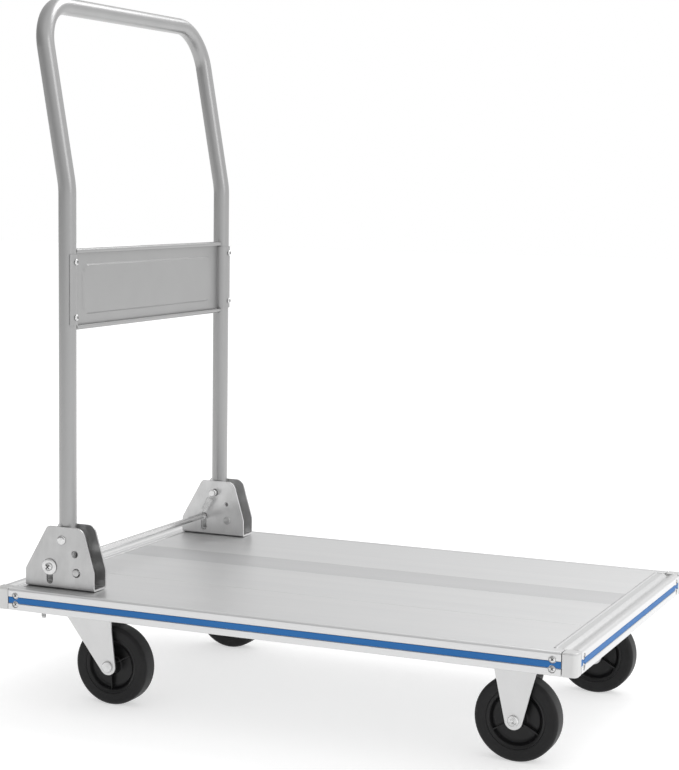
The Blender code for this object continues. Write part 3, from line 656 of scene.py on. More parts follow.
for end_name, end in ENDS.items():
    for side_name, side in SIDES.items():
        node = f"corner_block_{end_name}_{side_name}"
        x, y = DECK_X - EDGE_WIDTH + 0.4, DECK_Y - EDGE_WIDTH + 0.4
        plan = rounded([(x, y, 0), (DECK_X, y, 0), (DECK_X, DECK_Y, CORNER_RADIUS), (x, DECK_Y, 0)], 12)
        corner = pushed(f"corner_{end_name}_{side_name}", [mm(end * a, side * b, DECK_BOTTOM) for a, b in plan],
                        mm(0, 0, DECK_TOP - DECK_BOTTOM))
        soften(corner, 0.8, 4, 60)
        edit(corner)
        for height in (CAP_SEAM, CAP_SEAM - 0.5):
            slice_across(mm(0, 0, height), ALONG_Z)
        pick("faces", lambda face: all_of(face, lambda co: CAP_SEAM - 0.55 < co.z < CAP_SEAM + 0.05))
        bpy.ops.mesh.extrude_region_shrink_fatten(TRANSFORM_OT_shrink_fatten={"value": -0.5 * MM})
        done()
        settle(corner, corner_skin, "deck", "deck_aluminium", node, smooth=28)
print("corner blocks:", len(ENDS) * len(SIDES))

# %% [markdown]
# ## Blue strips
# A soft plastic strip is pressed into the slot on each side.  It starts as a thin cube.  Its outer
# long edges are bevelled so that the face is slightly crowned.

# %% Blue strips
for where in ("right", "left", "rear", "front"):
    node = f"trim_strip_{where}"
    low, high = node_box(node)
    strip = block(f"blue_strip_{where}", low, high)
    thin = 1 if where in SIDES else 0
    outside = high[thin] if abs(high[thin]) > abs(low[thin]) else low[thin]
    edit(strip)
    pick("edges", lambda edge: all_of(edge, lambda co: near(co[thin], outside)) and
         near(edge.verts[0].co.z, edge.verts[1].co.z, 0.0001))
    bpy.ops.mesh.bevel(offset=0.6 * MM, segments=3, affect="EDGES")
    done()
    pocket_for_screws(strip, "side" if where in SIDES else "end", 1 if high[thin] > 100 else -1)
    settle(strip, blue_skin, "deck", "blue_trim", node)
    print("blue strip", where, "stands at", round(outside, 1), "mm")


# %% [markdown]
# ## Screws with a cross recess
# Pan-head screws hold the corners, the lock bar and the handle's panel.  The head is a turned dome.  Two
# crossed bars are cut out of it, and the floor of the recess is painted near-black: painted shade for the
# shadow in the recess.  The corner screws sit at the bottom of their pockets, with their heads flush with the face.

# %% A cross-recess head
def cross_head(name, centre, axis, radius, height, cross=0.55):
    """A pan head that stands on a face and looks along an axis."""
    axis = Vector(axis).normalized()
    dome = [(0, 0), (radius * 0.98, 0), (radius, height * 0.22)]
    for step in range(1, 6):
        rise = step * pi / 12
        dome.append((radius * cos(rise), height * (0.25 + 0.75 * sin(rise))))
    dome.append((0, height))
    head = turned(name, dome, centre, axis, 32)
    aside = axis.orthogonal().normalized()
    for direction in (aside, axis.cross(aside)):
        reach, half = radius * cross, radius * 0.13
        across = axis.cross(direction)
        low = centre + axis * height * 0.45 * MM
        bar = [low + (direction * a + across * b) * MM for a, b in
               ((-reach, -half), (reach, -half), (reach, half), (-reach, half))]
        drill(head, pushed("cross", bar, axis * height * MM))
    return head


def paint_recess_shade(piece, centre, axis, low, high):
    """Gives the faces between two heights, that look along the axis, the near-black finish: painted shade."""
    piece.data.materials.append(recess_painted_shade)
    axis = Vector(axis).normalized()
    for face in piece.data.polygons:
        height = (face.center - centre).dot(axis) / MM
        aside = (face.center - centre - axis * height * MM).length / MM
        if low < height < high and (face.normal.dot(axis) > 0.9 or aside < 0.9):
            face.material_index = 1


count = 0
for face, where in (("side", SIDES), ("end", ENDS)):
    for face_name, number in where.items():
        out = out_of(face, number)
        for place, name in screw_places(face, number):
            seat = (place - out * POCKET_DEPTH) * MM
            screw = cross_head(f"corner_screw_{face_name}_{name}", seat, out, 3.9, 1.6, 0.5)
            settle(screw, bright_skin, "deck", "bright_zinc", smooth=40)
            # Painted shade on the floor of the cross recess.
            paint_recess_shade(screw, seat, out, 0.6, 1.1)
            count += 1
print("corner screws:", count)

# %% [markdown]
# ## Handle brackets
# A bracket is a channel folded from 2.5 mm sheet.  Its outline is drawn from the side and pushed across
# to a solid block; every face except the two walls and the floor is deleted, the two fold lines are bevelled
# to the bend radius, and Solidify gives the sheet its thickness inwards.  Then the holes are drilled.

# %% Folded channels
FOLD_STEPS = 6


def folded(name, outline, start_y, end_y, floor_up, bend, sheet):
    """A channel: walls in the outline's shape at both Y ends, joined by a floor or a crown."""
    blank = pushed(name, [mm(x, start_y, z) for x, z in outline], mm(0, end_y - start_y, 0))
    level = max(z for _, z in outline) if floor_up else min(z for _, z in outline)
    edit(blank)
    pick("faces", lambda face: abs(face.normal.y) < 0.5 and not all_of(face, lambda co: near(co.z, level)))
    bpy.ops.mesh.delete(type="FACE")
    pick("edges", lambda edge: all_of(edge, lambda co: near(co.z, level)) and len(edge.link_faces) == 2)
    bpy.ops.mesh.bevel(offset=bend * MM, segments=FOLD_STEPS, affect="EDGES")
    done()
    thicken(blank, sheet)
    return blank


print("faces round each fold:", FOLD_STEPS)

# %% [markdown]
# The far bracket has a lighter copy of the near one's zinc finish: painted light, for the brighter light that falls
# on it.
# The stop's hole is wide in the outer wall, a spare hole sits above it, and the slot for the lock bar is as
# long as the bar's travel.

# %% Brackets
SHEET = 2.5
PIVOT = node_middle("pivot_pin_right")
LOCK = node_middle("lock_bar")
STOP = node_middle("stop_pin_right")
SPARE_X, SPARE_Z = -271.5, 195.0
LEG_Y = 202.0
LOCK_TRAVEL = 16.5
# The far (left) bracket takes the lighter copy of the zinc finish: painted light.
BRACKET_SKIN = {"right": bracket_skin, "left": far_bracket_lit_skin}
for side_name, side in SIDES.items():
    node = f"handle_bracket_{side_name}"
    low, high = node_box(node)
    floor, top = low.z, high.z
    outline = rounded([(low.x, floor, 0), (low.x, 172.5, 5), (-310.2, top, 6), (-260.7, top, 12),
                       (high.x, 173.5, 10), (high.x, floor, 0)])
    bracket = folded(f"bracket_{side_name}", outline, low.y, high.y, False, 3.5, SHEET)
    ends = side * (LEG_Y - 25), side * (LEG_Y + 25)
    inner_ends = side * (LEG_Y - 25), side * LEG_Y
    outer_ends = side * LEG_Y, side * (LEG_Y + 25)
    for x, z, radius, (start, end) in ((PIVOT.x, PIVOT.z, 5.0, ends),
                                       (STOP.x, STOP.z, 4.4, inner_ends), (STOP.x + 0.9, STOP.z, 5.6, outer_ends),
                                       (SPARE_X, SPARE_Z, 4.5, outer_ends), (SPARE_X, SPARE_Z, 2.9, inner_ends)):
        bore(bracket, radius, (x, start, z), (x, end, z))
    slot = arc_points((LOCK.x, LOCK.z + 0.4), 4.5, 0, 180, 12)
    slot += arc_points((LOCK.x, LOCK.z - LOCK_TRAVEL - 0.4), 4.5, 180, 360, 12)
    drill(bracket, pushed("slot", [mm(x, ends[0], z) for x, z in slot], mm(0, ends[1] - ends[0], 0)))
    for end_name in ENDS:
        bolt = node_middle(f"bracket_bolt_{end_name}_{side_name}")
        bore(bracket, 3.4, (bolt.x, bolt.y, 140), (bolt.x, bolt.y, 160))
    soften(bracket, 0.35, 2, 40)
    settle(bracket, BRACKET_SKIN[side_name], "deck", "zinc_plate", node, smooth=35)
print("bracket box:", [round(v, 1) for v in (*low, *high)])

# %% [markdown]
# Two rivets cross each bracket.  The upper one carries the handle: a low flat head outside, and
# a grooved end inside where the spring hooks on.  The lower one is a stop, flush with the outer wall, with a
# shallow dome inside.  Both are turned, and so are the bolts, whose thread is a zigzag in the profile.

# %% Rivets and bolts through the brackets
SPRING_Y, OUTER_WALL, INNER_WALL, THREAD_TOP = 181.0, 217.3, 186.7, 129.0
PIVOT_PROFILE = [(0, OUTER_WALL + 1.5), (3.4, OUTER_WALL + 1.45), (5.0, OUTER_WALL + 1.2), (5.7, OUTER_WALL + 0.7),
                 (5.9, OUTER_WALL + 0.1), (5.9, OUTER_WALL), (4.6, OUTER_WALL), (4.6, SPRING_Y + 2.0),
                 (3.6, SPRING_Y + 1.4), (3.6, SPRING_Y - 1.4), (4.6, SPRING_Y - 2.0), (4.6, SPRING_Y - 3.4),
                 (4.0, SPRING_Y - 4.0), (0, SPRING_Y - 4.0)]
STOP_PROFILE = [(0, OUTER_WALL + 0.5), (3.2, OUTER_WALL + 0.45), (4.3, OUTER_WALL + 0.2), (4.6, OUTER_WALL - 0.4),
                (4.6, OUTER_WALL - 2.2), (4, OUTER_WALL - 2.4), (4, INNER_WALL), (5.5, INNER_WALL),
                (5.3, INNER_WALL - 0.6), (4.4, INNER_WALL - 1.2), (0, INNER_WALL - 1.5)]
for side_name, side in SIDES.items():
    out = ALONG_Y * side
    pivot = turned(f"pivot_rivet_{side_name}", PIVOT_PROFILE, mm(PIVOT.x, 0, PIVOT.z), out)
    settle(pivot, bright_skin, "deck", "bright_zinc", f"pivot_pin_{side_name}", smooth=40)
    stop = turned(f"stop_rivet_{side_name}", STOP_PROFILE, mm(STOP.x, 0, STOP.z), out)
    settle(stop, bracket_skin, "deck", "zinc_plate", f"stop_pin_{side_name}", smooth=40)
    for end_name in ENDS:
        node = f"bracket_bolt_{end_name}_{side_name}"
        low, high = node_box(node)
        seat = high.z - 4.0
        place = mm((low.x + high.x) / 2, (low.y + high.y) / 2, 0)
        shank = [(0, high.z), (4.4, high.z), (4.8, high.z - 0.2), (5, high.z - 0.6), (5, seat), (2.95, seat),
                 (2.95, THREAD_TOP)]
        thread = THREAD_TOP
        while thread - 1.0 > low.z + 1:
            shank += [(2.55, thread - 0.5), (2.95, thread - 1.0)]
            thread -= 1.0
        shank += [(2.4, low.z), (0, low.z)]
        bolt = turned(f"holding_bolt_{end_name}_{side_name}", shank, place, ALONG_Z, 24)
        settle(bolt, bright_skin, "deck", "bright_zinc", node, smooth=40)
print("a bracket bolt is", round(high.z - low.z, 1), "mm long")

# %% [markdown]
# ## Lock bar
# A round bar slides up and down in the brackets' slots.  At each end a washer and a pan-head screw keep it in.
# The washer is turned with a slightly raised inner ring, as a pressed washer has.

# %% Lock bar, washers and screws
low, high = node_box("lock_bar")
bar_end = high.y
bar = turned("press_bar", [(0, -bar_end), (3.4, -bar_end), (3.8, -bar_end + 0.3), (4, -bar_end + 0.8),
                           (4, bar_end - 0.8), (3.8, bar_end - 0.3), (3.4, bar_end), (0, bar_end)],
             mm(LOCK.x, 0, LOCK.z), ALONG_Y, 40)
settle(bar, bar_skin, "lock_bar", "bright_zinc", "lock_bar", smooth=40)
for side_name, side in SIDES.items():
    out = ALONG_Y * side
    seat = bar_end + 0.3
    ring = [(10, seat + 0.3), (9.7, seat), (2.9, seat), (2.9, seat + 1.5), (6.8, seat + 1.5), (7.4, seat + 1.25),
            (9.5, seat + 1.2), (10, seat + 0.9), (10, seat + 0.3)]
    washer = turned(f"bar_washer_{side_name}", ring, mm(LOCK.x, 0, LOCK.z), out)
    settle(washer, bright_skin, "lock_bar", "bright_zinc", f"lock_washer_{side_name}", smooth=40)
    face = mm(LOCK.x, side * (seat + 1.8), LOCK.z)
    screw = cross_head(f"bar_screw_{side_name}", face, out, 5.0, 2.9, 0.62)
    settle(screw, bright_skin, "lock_bar", "bright_zinc", f"lock_screw_{side_name}", smooth=40)
    # Painted shade on the floor of the cross recess.
    paint_recess_shade(screw, face, out, 1.0, 1.6)
print("the lock bar is", round(2 * bar_end, 1), "mm long")


# %% [markdown]
# ## Springs
# An extension spring pulls the bar up towards the pivot.  It is a single wire: a hook of
# one and a half turns round the pivot rivet, a close coil, and a hook round the bar.  The wire is a
# NURBS path whose points are set in code, given a round section, and made a mesh.  When the bar is pressed the
# spring has to stretch.

# %% Springs
WIRE, COIL, TURNS = 0.7, 4.5, 8
TOP_HOOK, LOW_HOOK, STEPS = 4.5, 4.9, 12


def spring_route(side):
    pin, bar_place = Vector((PIVOT.x, 0, PIVOT.z)), Vector((LOCK.x, 0, LOCK.z))
    down = (bar_place - pin).normalized()
    across = Vector((down.z, 0, -down.x))
    points = []
    for i in range(16):
        angle = radians(500 * (1 - i / 16))
        lift = ALONG_Y * (1.2 - 1.2 * i / 16) * side
        points.append(pin + TOP_HOOK * (cos(angle) * down + sin(angle) * across) + lift)
    start, end = TOP_HOOK + 3.2, (bar_place - pin).length - LOW_HOOK - 2.6
    total = TURNS * STEPS
    for i in range(total + 1):
        angle = 2 * pi * i / STEPS
        radius = COIL * min(1.0, 0.25 + i / 8, 0.25 + (total - i) / 8)
        centre = pin + down * (start + (end - start) * i / total)
        points.append(centre + radius * (cos(angle) * across + sin(angle) * ALONG_Y))
    for i in range(1, 11):
        angle = radians(300 * i / 10)
        points.append(bar_place + LOW_HOOK * (-cos(angle) * down + sin(angle) * across))
    return [point + ALONG_Y * side * SPRING_Y for point in points]


for side_name, side in SIDES.items():
    let_go()
    bpy.ops.curve.primitive_nurbs_path_add()
    wire = bpy.context.object
    wire.name = wire.data.name = f"coil_spring_{side_name}"
    route = spring_route(side)
    spline = wire.data.splines[0]
    spline.points.add(len(route) - len(spline.points))
    for spot, place in zip(spline.points, route):
        spot.co = (*(place * MM), 1)
    spline.order_u = 3
    spline.use_endpoint_u = True
    spline.resolution_u = 2
    wire.data.bevel_depth = WIRE * MM
    wire.data.bevel_resolution = 2
    wire.data.use_fill_caps = True
    bpy.ops.object.convert(target="MESH")
    spring = bpy.context.object
    edit(spring)
    tidy_faces()
    spring.data.materials.clear()
    spring.data.materials.append(spring_skin)
    shade(spring, 60)
    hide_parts(f"lock_spring_{side_name}")
    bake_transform(spring)
print("spring triangles:", sum(len(face.vertices) - 2 for face in spring.data.polygons))

# %% [markdown]
# ## Handle tube
# The handle is one tube bent four times.  A circle starts at the foot of the right leg; Extrude
# makes each straight run and Spin makes each bend, always starting from the ring that was left
# selected, just as a tube bender feeds and turns.  Solidify then gives the tube its wall.

# %% Handle tube
TUBE_RADIUS, TUBE_WALL = 10.75, 1.5
LEG_X = PIVOT.x
FOOT_Z = node_box("handle_tube")[0].z
BEND_Z, LEAN, BEND_RADIUS, GRIP_RADIUS = 640.0, radians(10.0), 110.0, 55.0
GRIP_Z = node_box("handle_tube")[1].z - TUBE_RADIUS
lean_reach = BEND_RADIUS * tan(LEAN / 2)
lean_run = (GRIP_Z - BEND_Z) / cos(LEAN) - lean_reach - GRIP_RADIUS
up_lean = Vector((-sin(LEAN), 0, cos(LEAN)))

let_go()
bpy.ops.mesh.primitive_circle_add(vertices=40, radius=TUBE_RADIUS * MM, location=mm(LEG_X, -LEG_Y, FOOT_Z))
hoop = adopt("handle_hoop")
bpy.ops.object.mode_set(mode="EDIT")
pick_all()
print("the tube starts", round(FOOT_Z, 1), "mm above the floor")

# %% [markdown]
# `run_to` feeds the tube and `bend` bends it, and both say where the open end's middle is afterwards, because
# the next bend is set out from there.  The last ring should come down on the left foot.

# %% Bending the tube
def run_to(ring, direction, length):
    bpy.ops.mesh.extrude_region_move(TRANSFORM_OT_translate={"value": direction * length * MM})
    return ring + direction * length


def bend(ring, centre, axis, angle, steps):
    swing(centre * MM, axis, angle, steps)
    return centre + Matrix.Rotation(angle, 3, axis) @ (ring - centre)


upright = BEND_Z - lean_reach - FOOT_Z
grip_axis = up_lean.cross(ALONG_Y)
ring = run_to(Vector((LEG_X, -LEG_Y, FOOT_Z)), ALONG_Z, upright)
ring = bend(ring, ring - ALONG_X * BEND_RADIUS, ALONG_Y, -LEAN, 8)
ring = run_to(ring, up_lean, lean_run)
ring = bend(ring, ring + ALONG_Y * GRIP_RADIUS, grip_axis, pi / 2, 20)
ring = run_to(ring, ALONG_Y, 2 * (LEG_Y - GRIP_RADIUS))
ring = bend(ring, ring - up_lean * GRIP_RADIUS, grip_axis, pi / 2, 20)
ring = run_to(ring, -up_lean, lean_run)
ring = bend(ring, ring - Vector((cos(LEAN), 0, sin(LEAN))) * BEND_RADIUS, ALONG_Y, LEAN, 8)
ring = run_to(ring, -ALONG_Z, upright)
print("the last ring is at", [round(v, 2) for v in ring])
tidy_faces()
thicken(hoop, TUBE_WALL)
bore(hoop, 5.1, (LEG_X, -230, PIVOT.z), (LEG_X, 230, PIVOT.z))
settle(hoop, tube_skin, "handle", "silver_paint", "handle_tube", smooth=35)

# %% [markdown]
# ## Handle panel
# A thin pressed sheet joins the legs.  It starts as a plane between them.  Its upper and lower edges are
# spun forward into rolled lips, and its ends are spun round the front of each leg.  The middle is cut
# out with Bisect, its corners are rounded with a bevel, and an inset that is moved
# forward makes the raised field.

# %% Handle panel
PANEL_Z, PANEL_SHEET, LIP_RADIUS = 516.5, 1.2, 3.0
WRAP = TUBE_RADIUS + 0.5 + PANEL_SHEET / 2
PANEL_HALF, FLANGE_HALF = 49.0, 43.0
HALF_SPAN = LEG_Y - WRAP
FIELD_Y, FIELD_LOW, FIELD_HIGH = 168.5, 484.5, 546.5
FIELD_RISE, FIELD_SLOPE, FIELD_CORNER = 1.5, 2.4, 8
FIELD_TALL = FIELD_HIGH - FIELD_LOW
sheet_low, sheet_high = PANEL_Z - PANEL_HALF + LIP_RADIUS, PANEL_Z + PANEL_HALF - LIP_RADIUS
let_go()
bpy.ops.mesh.primitive_plane_add(size=1, location=mm(LEG_X, 0, PANEL_Z), rotation=(0, pi / 2, 0))
panel = adopt("cross_panel")
bpy.ops.object.mode_set(mode="EDIT")
pick_all()
bpy.ops.transform.resize(value=(1, 2 * HALF_SPAN * MM, (sheet_high - sheet_low) * MM),
                         center_override=mm(LEG_X, 0, PANEL_Z))
for height in (PANEL_Z - FLANGE_HALF, PANEL_Z + FLANGE_HALF, FIELD_LOW, FIELD_HIGH):
    slice_across(mm(0, 0, height), ALONG_Z)
for y in (-FIELD_Y, FIELD_Y):
    slice_across(mm(0, y, 0), ALONG_Y)
for level, turn in ((sheet_high, 1), (sheet_low, -1)):
    pick("edges", lambda edge: all_of(edge, lambda co: near(co.z, level) and near(co.x, LEG_X)))
    swing(mm(LEG_X + LIP_RADIUS, 0, level), ALONG_Y, turn * radians(215), 14)
for side in SIDES.values():
    pick("edges", lambda edge: all_of(edge, lambda co: near(co.y, side * HALF_SPAN) and near(co.x, LEG_X)
                                      and PANEL_Z - FLANGE_HALF - 0.1 < co.z < PANEL_Z + FLANGE_HALF + 0.1))
    swing(mm(LEG_X, side * LEG_Y, 0), ALONG_Z, side * radians(136), 22)
print("panel height between the lips:", round(sheet_high - sheet_low, 1))

# %% [markdown]
# The raised field is the middle face moved forward and made a little smaller, which gives it sloping sides.
# Its four sloping edges are bevelled into round corners before Solidify gives the sheet its thickness.

# %% Raised field
pick("faces", lambda face: all_of(face, lambda co: abs(co.y) < FIELD_Y + 0.1 and near(co.x, LEG_X)
                                  and FIELD_LOW - 0.1 < co.z < FIELD_HIGH + 0.1))
bpy.ops.mesh.extrude_region_move(TRANSFORM_OT_translate={"value": mm(FIELD_RISE, 0, 0)})
bpy.ops.transform.resize(value=(1, (FIELD_Y - FIELD_SLOPE) / FIELD_Y, (FIELD_TALL - 2 * FIELD_SLOPE) / FIELD_TALL),
                         center_override=mm(0, 0, (FIELD_LOW + FIELD_HIGH) / 2))
pick("edges", lambda edge: near(abs(edge.verts[0].co.y - edge.verts[1].co.y), FIELD_SLOPE * MM, 0.2 * MM)
     and near(abs(edge.verts[0].co.x - edge.verts[1].co.x), FIELD_RISE * MM, 0.1 * MM))
bpy.ops.mesh.bevel(offset=FIELD_CORNER * MM, segments=8, affect="EDGES")
tidy_faces()
thicken(panel, PANEL_SHEET, 0.0)
soften(panel, 0.3, 2, 28)
settle(panel, panel_skin, "handle", "silver_paint", "handle_panel", smooth=30)
print("panel size:", [round(v / MM, 1) for v in panel.dimensions])

# %% [markdown]
# Two screws on each leg hold the panel's wrapped ends.  Their heads stand on the front of the sheet.

# %% Panel screws
PANEL_SCREW_RISE = 33.5
for side_name, side in SIDES.items():
    for level_name, level in (("upper", 1), ("lower", -1)):
        height = PANEL_Z + level * PANEL_SCREW_RISE
        seat = mm(LEG_X + TUBE_RADIUS + 0.5 + PANEL_SHEET, side * LEG_Y, height)
        screw = cross_head(f"panel_fixing_{level_name}_{side_name}", seat, ALONG_X, 3.9, 2.3, 0.5)
        settle(screw, bright_skin, "handle", "bright_zinc", f"panel_screw_{level_name}_{side_name}", smooth=40)
        # Painted shade on the floor of the cross recess.
        paint_recess_shade(screw, seat, ALONG_X, 0.8, 1.3)
print("panel screws stand at X", round(seat.x / MM, 1))

# %% [markdown]
# ## Caster forks
# A fork is folded like a bracket, but upside down: two legs that hang from a crown and end in a
# round about the axle.  The fixed fork's crown is its mounting plate.  The swivel fork has its own crown, and
# turns under the plate on a ring of balls.

# %% Fork outlines
WHEEL_Z = 50.0
LEG_ROUND = 10.6


def leg_sides(left, right, top, axle_x):
    """The arc round the axle, met by straight edges from the two upper corners."""
    angles = []
    for x, turn in ((left, 1), (right, -1)):
        dx, dz = x - axle_x, top - WHEEL_Z
        angles.append(atan2(dz, dx) + turn * acos(LEG_ROUND / hypot(dx, dz)))
    start, end = (angle * 180 / pi for angle in angles)
    return arc_points((axle_x, WHEEL_Z), LEG_ROUND, start, end + 360, 20)


def fork(name, left, right, top, axle_x, y):
    """Two legs and their crown, folded from sheet."""
    half = 20.0
    outline = [(right, top), (left, top), (left, top - 6), *leg_sides(left, right, top - 6, axle_x), (right, top - 6)]
    made = folded(name, outline, y - half, y + half, True, 4.5, SHEET)
    bore(made, 4.8, (axle_x, y - 30, WHEEL_Z), (axle_x, y + 30, WHEEL_Z))
    return made


print("a fork's round has", len(leg_sides(-27.5, 29.5, 120, 0)), "points")

# %% [markdown]
# Both kinds of caster hang from a plate with four bolts.  Under each corner a stud's end and a
# hexagon nut show.  The nut is a six-sided cylinder, drilled and bevelled.

# %% Plates and their bolts
PLATE_BOLTS = [(dx * 37.0, dy * 24.0) for dx in (-1, 1) for dy in (-1, 1)]


def caster_plate(name, low, high):
    """A plate with round corners."""
    plan = rounded([(low.x, low.y, 6), (high.x, low.y, 6), (high.x, high.y, 6), (low.x, high.y, 6)], 8)
    return pushed(name, [mm(x, y, high.z - SHEET) for x, y in plan], mm(0, 0, SHEET))


def plate_holes(plate, middle):
    for dx, dy in PLATE_BOLTS:
        bore(plate, 4.2, (middle.x + dx, middle.y + dy, 110), (middle.x + dx, middle.y + dy, 140))


def plate_fixings(kind, side_name, middle, plate_top):
    """A hexagon nut on a screw's end under each corner of the plate."""
    for number, (dx, dy) in enumerate(PLATE_BOLTS, start=1):
        place = mm(middle.x + dx, middle.y + dy, 0)
        under = plate_top - SHEET
        stem = [(0, under - 7.0), (2.6, under - 7.0), (3.0, under - 6.4), (3.0, under), (0, under)]
        stud = turned(f"{kind}_plate_stud_{number}_{side_name}", stem, place, ALONG_Z, 20)
        settle(stud, bright_skin, "deck", "bright_zinc", smooth=40)
        let_go()
        bpy.ops.mesh.primitive_cylinder_add(vertices=6, radius=5.8 * MM, depth=4.6 * MM,
                                            location=place + mm(0, 0, under - 2.5))
        nut = adopt(f"{kind}_plate_nut_{number}_{side_name}")
        bore(nut, 3.05, (*(place / MM).xy, 110), (*(place / MM).xy, 140), 20)
        soften(nut, 0.4, 2, 40)
        settle(nut, bright_skin, "deck", "bright_zinc", smooth=30)


print("bolts in a plate:", len(PLATE_BOLTS))

# %% [markdown]
# The fixed casters stand at the front.  Their plate and fork are welded into one piece, and the axle is a rivet
# whose end is spun over on the outside.

# %% Fixed casters
for side_name, side in SIDES.items():
    node = f"fixed_fork_{side_name}"
    low, high = node_box(node)
    middle = (low + high) / 2
    plate = caster_plate(f"front_fork_{side_name}", low, high)
    legs = fork("legs", middle.x - 27.5, middle.x + 29.5, high.z - 0.8, middle.x, middle.y)
    drill(plate, legs, "UNION")
    plate_holes(plate, middle)
    soften(plate, 0.45, 3, 40)
    settle(plate, fork_skin, "deck", "zinc_plate", node, smooth=35)
    plate_fixings("front", side_name, middle, high.z)
print("fixed fork box:", [round(v, 1) for v in (*low, *high)])

# %% [markdown]
# The swivel casters stand at the rear.  Under the plate comes a pressed cup, a ring of balls, and the kingpin
# that the fork turns on.

# %% Swivel casters
CROWN_TOP = 120.4
for side_name, side in SIDES.items():
    node = f"swivel_plate_{side_name}"
    low, high = node_box(node)
    middle = (low + high) / 2
    plate = caster_plate(f"rear_plate_{side_name}", low, high)
    under = high.z - SHEET
    cup = [(0, under + 1), (27, under + 1), (27, under), (26.4, under - 0.8), (25.2, CROWN_TOP + 3.2),
           (24.4, CROWN_TOP + 2.4), (0, CROWN_TOP + 2.4)]
    drill(plate, turned("cup", cup, mm(middle.x, middle.y, 0), ALONG_Z), "UNION")
    bore(plate, 5.4, (middle.x, middle.y, 110), (middle.x, middle.y, 140))
    plate_holes(plate, middle)
    soften(plate, 0.35, 2, 40)
    settle(plate, fork_skin, "deck", "zinc_plate", node, smooth=35)
    plate_fixings("rear", side_name, middle, high.z)
    race = [(24, CROWN_TOP + 2.1), (24, CROWN_TOP + 0.3), (13, CROWN_TOP + 0.3), (13, CROWN_TOP + 2.1),
            (17, CROWN_TOP + 2.1), (18.5, CROWN_TOP + 1.4), (20, CROWN_TOP + 2.1), (24, CROWN_TOP + 2.1)]
    ball_ring = turned(f"ball_race_{side_name}", race, mm(middle.x, middle.y, 0), ALONG_Z, 64)
    settle(ball_ring, bright_skin, "deck", "bright_zinc", f"swivel_race_{side_name}", smooth=40)
    low, high = node_box(f"kingpin_{side_name}")
    crown_low = CROWN_TOP - SHEET
    pin_profile = [(0, high.z), (4.6, high.z), (5, high.z - 0.4), (5, crown_low - 0.3), (9, crown_low - 0.3),
                   (9, crown_low - 1.2), (8.4, crown_low - 2.4), (7.4, crown_low - 3.2), (0, low.z)]
    king = turned(f"kingpin_rivet_{side_name}", pin_profile, mm(middle.x, middle.y, 0), ALONG_Z)
    settle(king, bright_skin, "deck", "bright_zinc", f"kingpin_{side_name}", smooth=40)
    node = f"swivel_fork_{side_name}"
    low, high = node_box(node)
    axle_x = node_middle(f"swivel_axle_{side_name}").x
    front_x = min(high.x, middle.x + 33.4) - 0.2
    turning = fork(f"rear_fork_{side_name}", low.x + 0.2, front_x, high.z, axle_x, middle.y)
    bore(turning, 5.6, (middle.x, middle.y, 112), (middle.x, middle.y, 125))
    soften(turning, 0.45, 3, 40)
    settle(turning, fork_skin, f"swivel_{side_name}", "zinc_plate", node, smooth=35)
print("swivel fork box:", [round(v, 1) for v in (*low, *high)])

# %% [markdown]
# ## Axles
# Each axle is a rivet with one flat round head.  The other end is spun over by a punch, which leaves a ring and a
# small dimple in the middle.

# %% Axles
WHERE = {"fixed": "front", "swivel": "rear"}
LEG_FACE = 20.3
FLAT_HEAD = [(0, 1.7), (3.4, 1.75), (4.6, 1.95), (6.0, 2.0), (6.7, 1.6), (7, 1.0), (7, 0), (4.4, 0)]
SPUN_END = [(4.4, 0), (6.6, 0), (6.5, 0.8), (5.7, 1.5), (4.6, 1.65), (3.9, 1.2), (3.3, 1.2), (2.6, 1.8),
            (1.6, 1.6), (0.9, 0.9), (0, 0.8)]
AXLE_PROFILE = [(radius, LEG_FACE + rise) for radius, rise in FLAT_HEAD]
AXLE_PROFILE += [(radius, -LEG_FACE - rise) for radius, rise in SPUN_END]
for kind, outward in (("fixed", -1), ("swivel", 1)):
    for side_name, side in SIDES.items():
        middle = node_middle(f"{kind}_tyre_{side_name}") * MM
        pin = turned(f"{WHERE[kind]}_axle_{side_name}", AXLE_PROFILE, middle, ALONG_Y * side * outward)
        body = "deck" if kind == "fixed" else f"swivel_{side_name}"
        settle(pin, bright_skin, body, "bright_zinc", f"{kind}_axle_{side_name}", smooth=30)
print("axles over their heads:", round(AXLE_PROFILE[3][1] - AXLE_PROFILE[-4][1], 1), "mm")

# %% [markdown]
# ## Wheels
# A solid rubber tyre is moulded round a plastic core.  The tyre is turned with a faint parting line on each wall
# and a round shoulder.  The core is a dish: a rim, a soft fillet down to a thin web, and a
# long hub.  Three thin ribs stand on each side of the web, a third of a turn apart.

# %% Tyre and core profiles
WHEEL_RADIUS, WHEEL_HALF, CORE_RADIUS = 50.0, 13.0, 35.0


def mirrored(profile):
    return [(radius, -height) for radius, height in reversed(profile)]


def tyre_profile():
    half = WHEEL_HALF
    side_wall = [(CORE_RADIUS + 0.3, half - 0.5), (CORE_RADIUS + 1.2, half - 0.15), (40.0, half - 0.05),
                 (42.9, half - 0.1)]
    shoulder = arc_points((WHEEL_RADIUS - 5.2, half - 5.2), 5.15, 84, 12, 8)
    outer = side_wall + shoulder + [(WHEEL_RADIUS - 0.02, half - 7.5), (WHEEL_RADIUS, 0.0)]
    return outer + mirrored(outer[:-1]) + [outer[0]]


def core_profile():
    half, r = WHEEL_HALF, CORE_RADIUS
    bore, hub = 4.8, 16.5
    face = [(bore, hub), (8.6, hub), (9.6, hub - 0.6), (10.2, hub - 1.6), (10.8, 6.6), (11.8, 5.4), (13.4, 5.0),
            (24.6, 5.0), (26.6, 5.3), (28.0, 6.1), (29.2, 7.5), (30.2, 9.4), (31.2, 11.0), (32.4, 12.0),
            (33.8, half - 0.6), (r - 0.3, half - 0.5), (r, half - 0.7)]
    return face + mirrored(face) + [face[0]]


print("profile points of tyre and core:", len(tyre_profile()), len(core_profile()))

# %% [markdown]
# The ribs are joined on with a union, so that the core stays one moulding.  Those of the swivel
# wheels stand at another angle, as wheels come to rest at any.

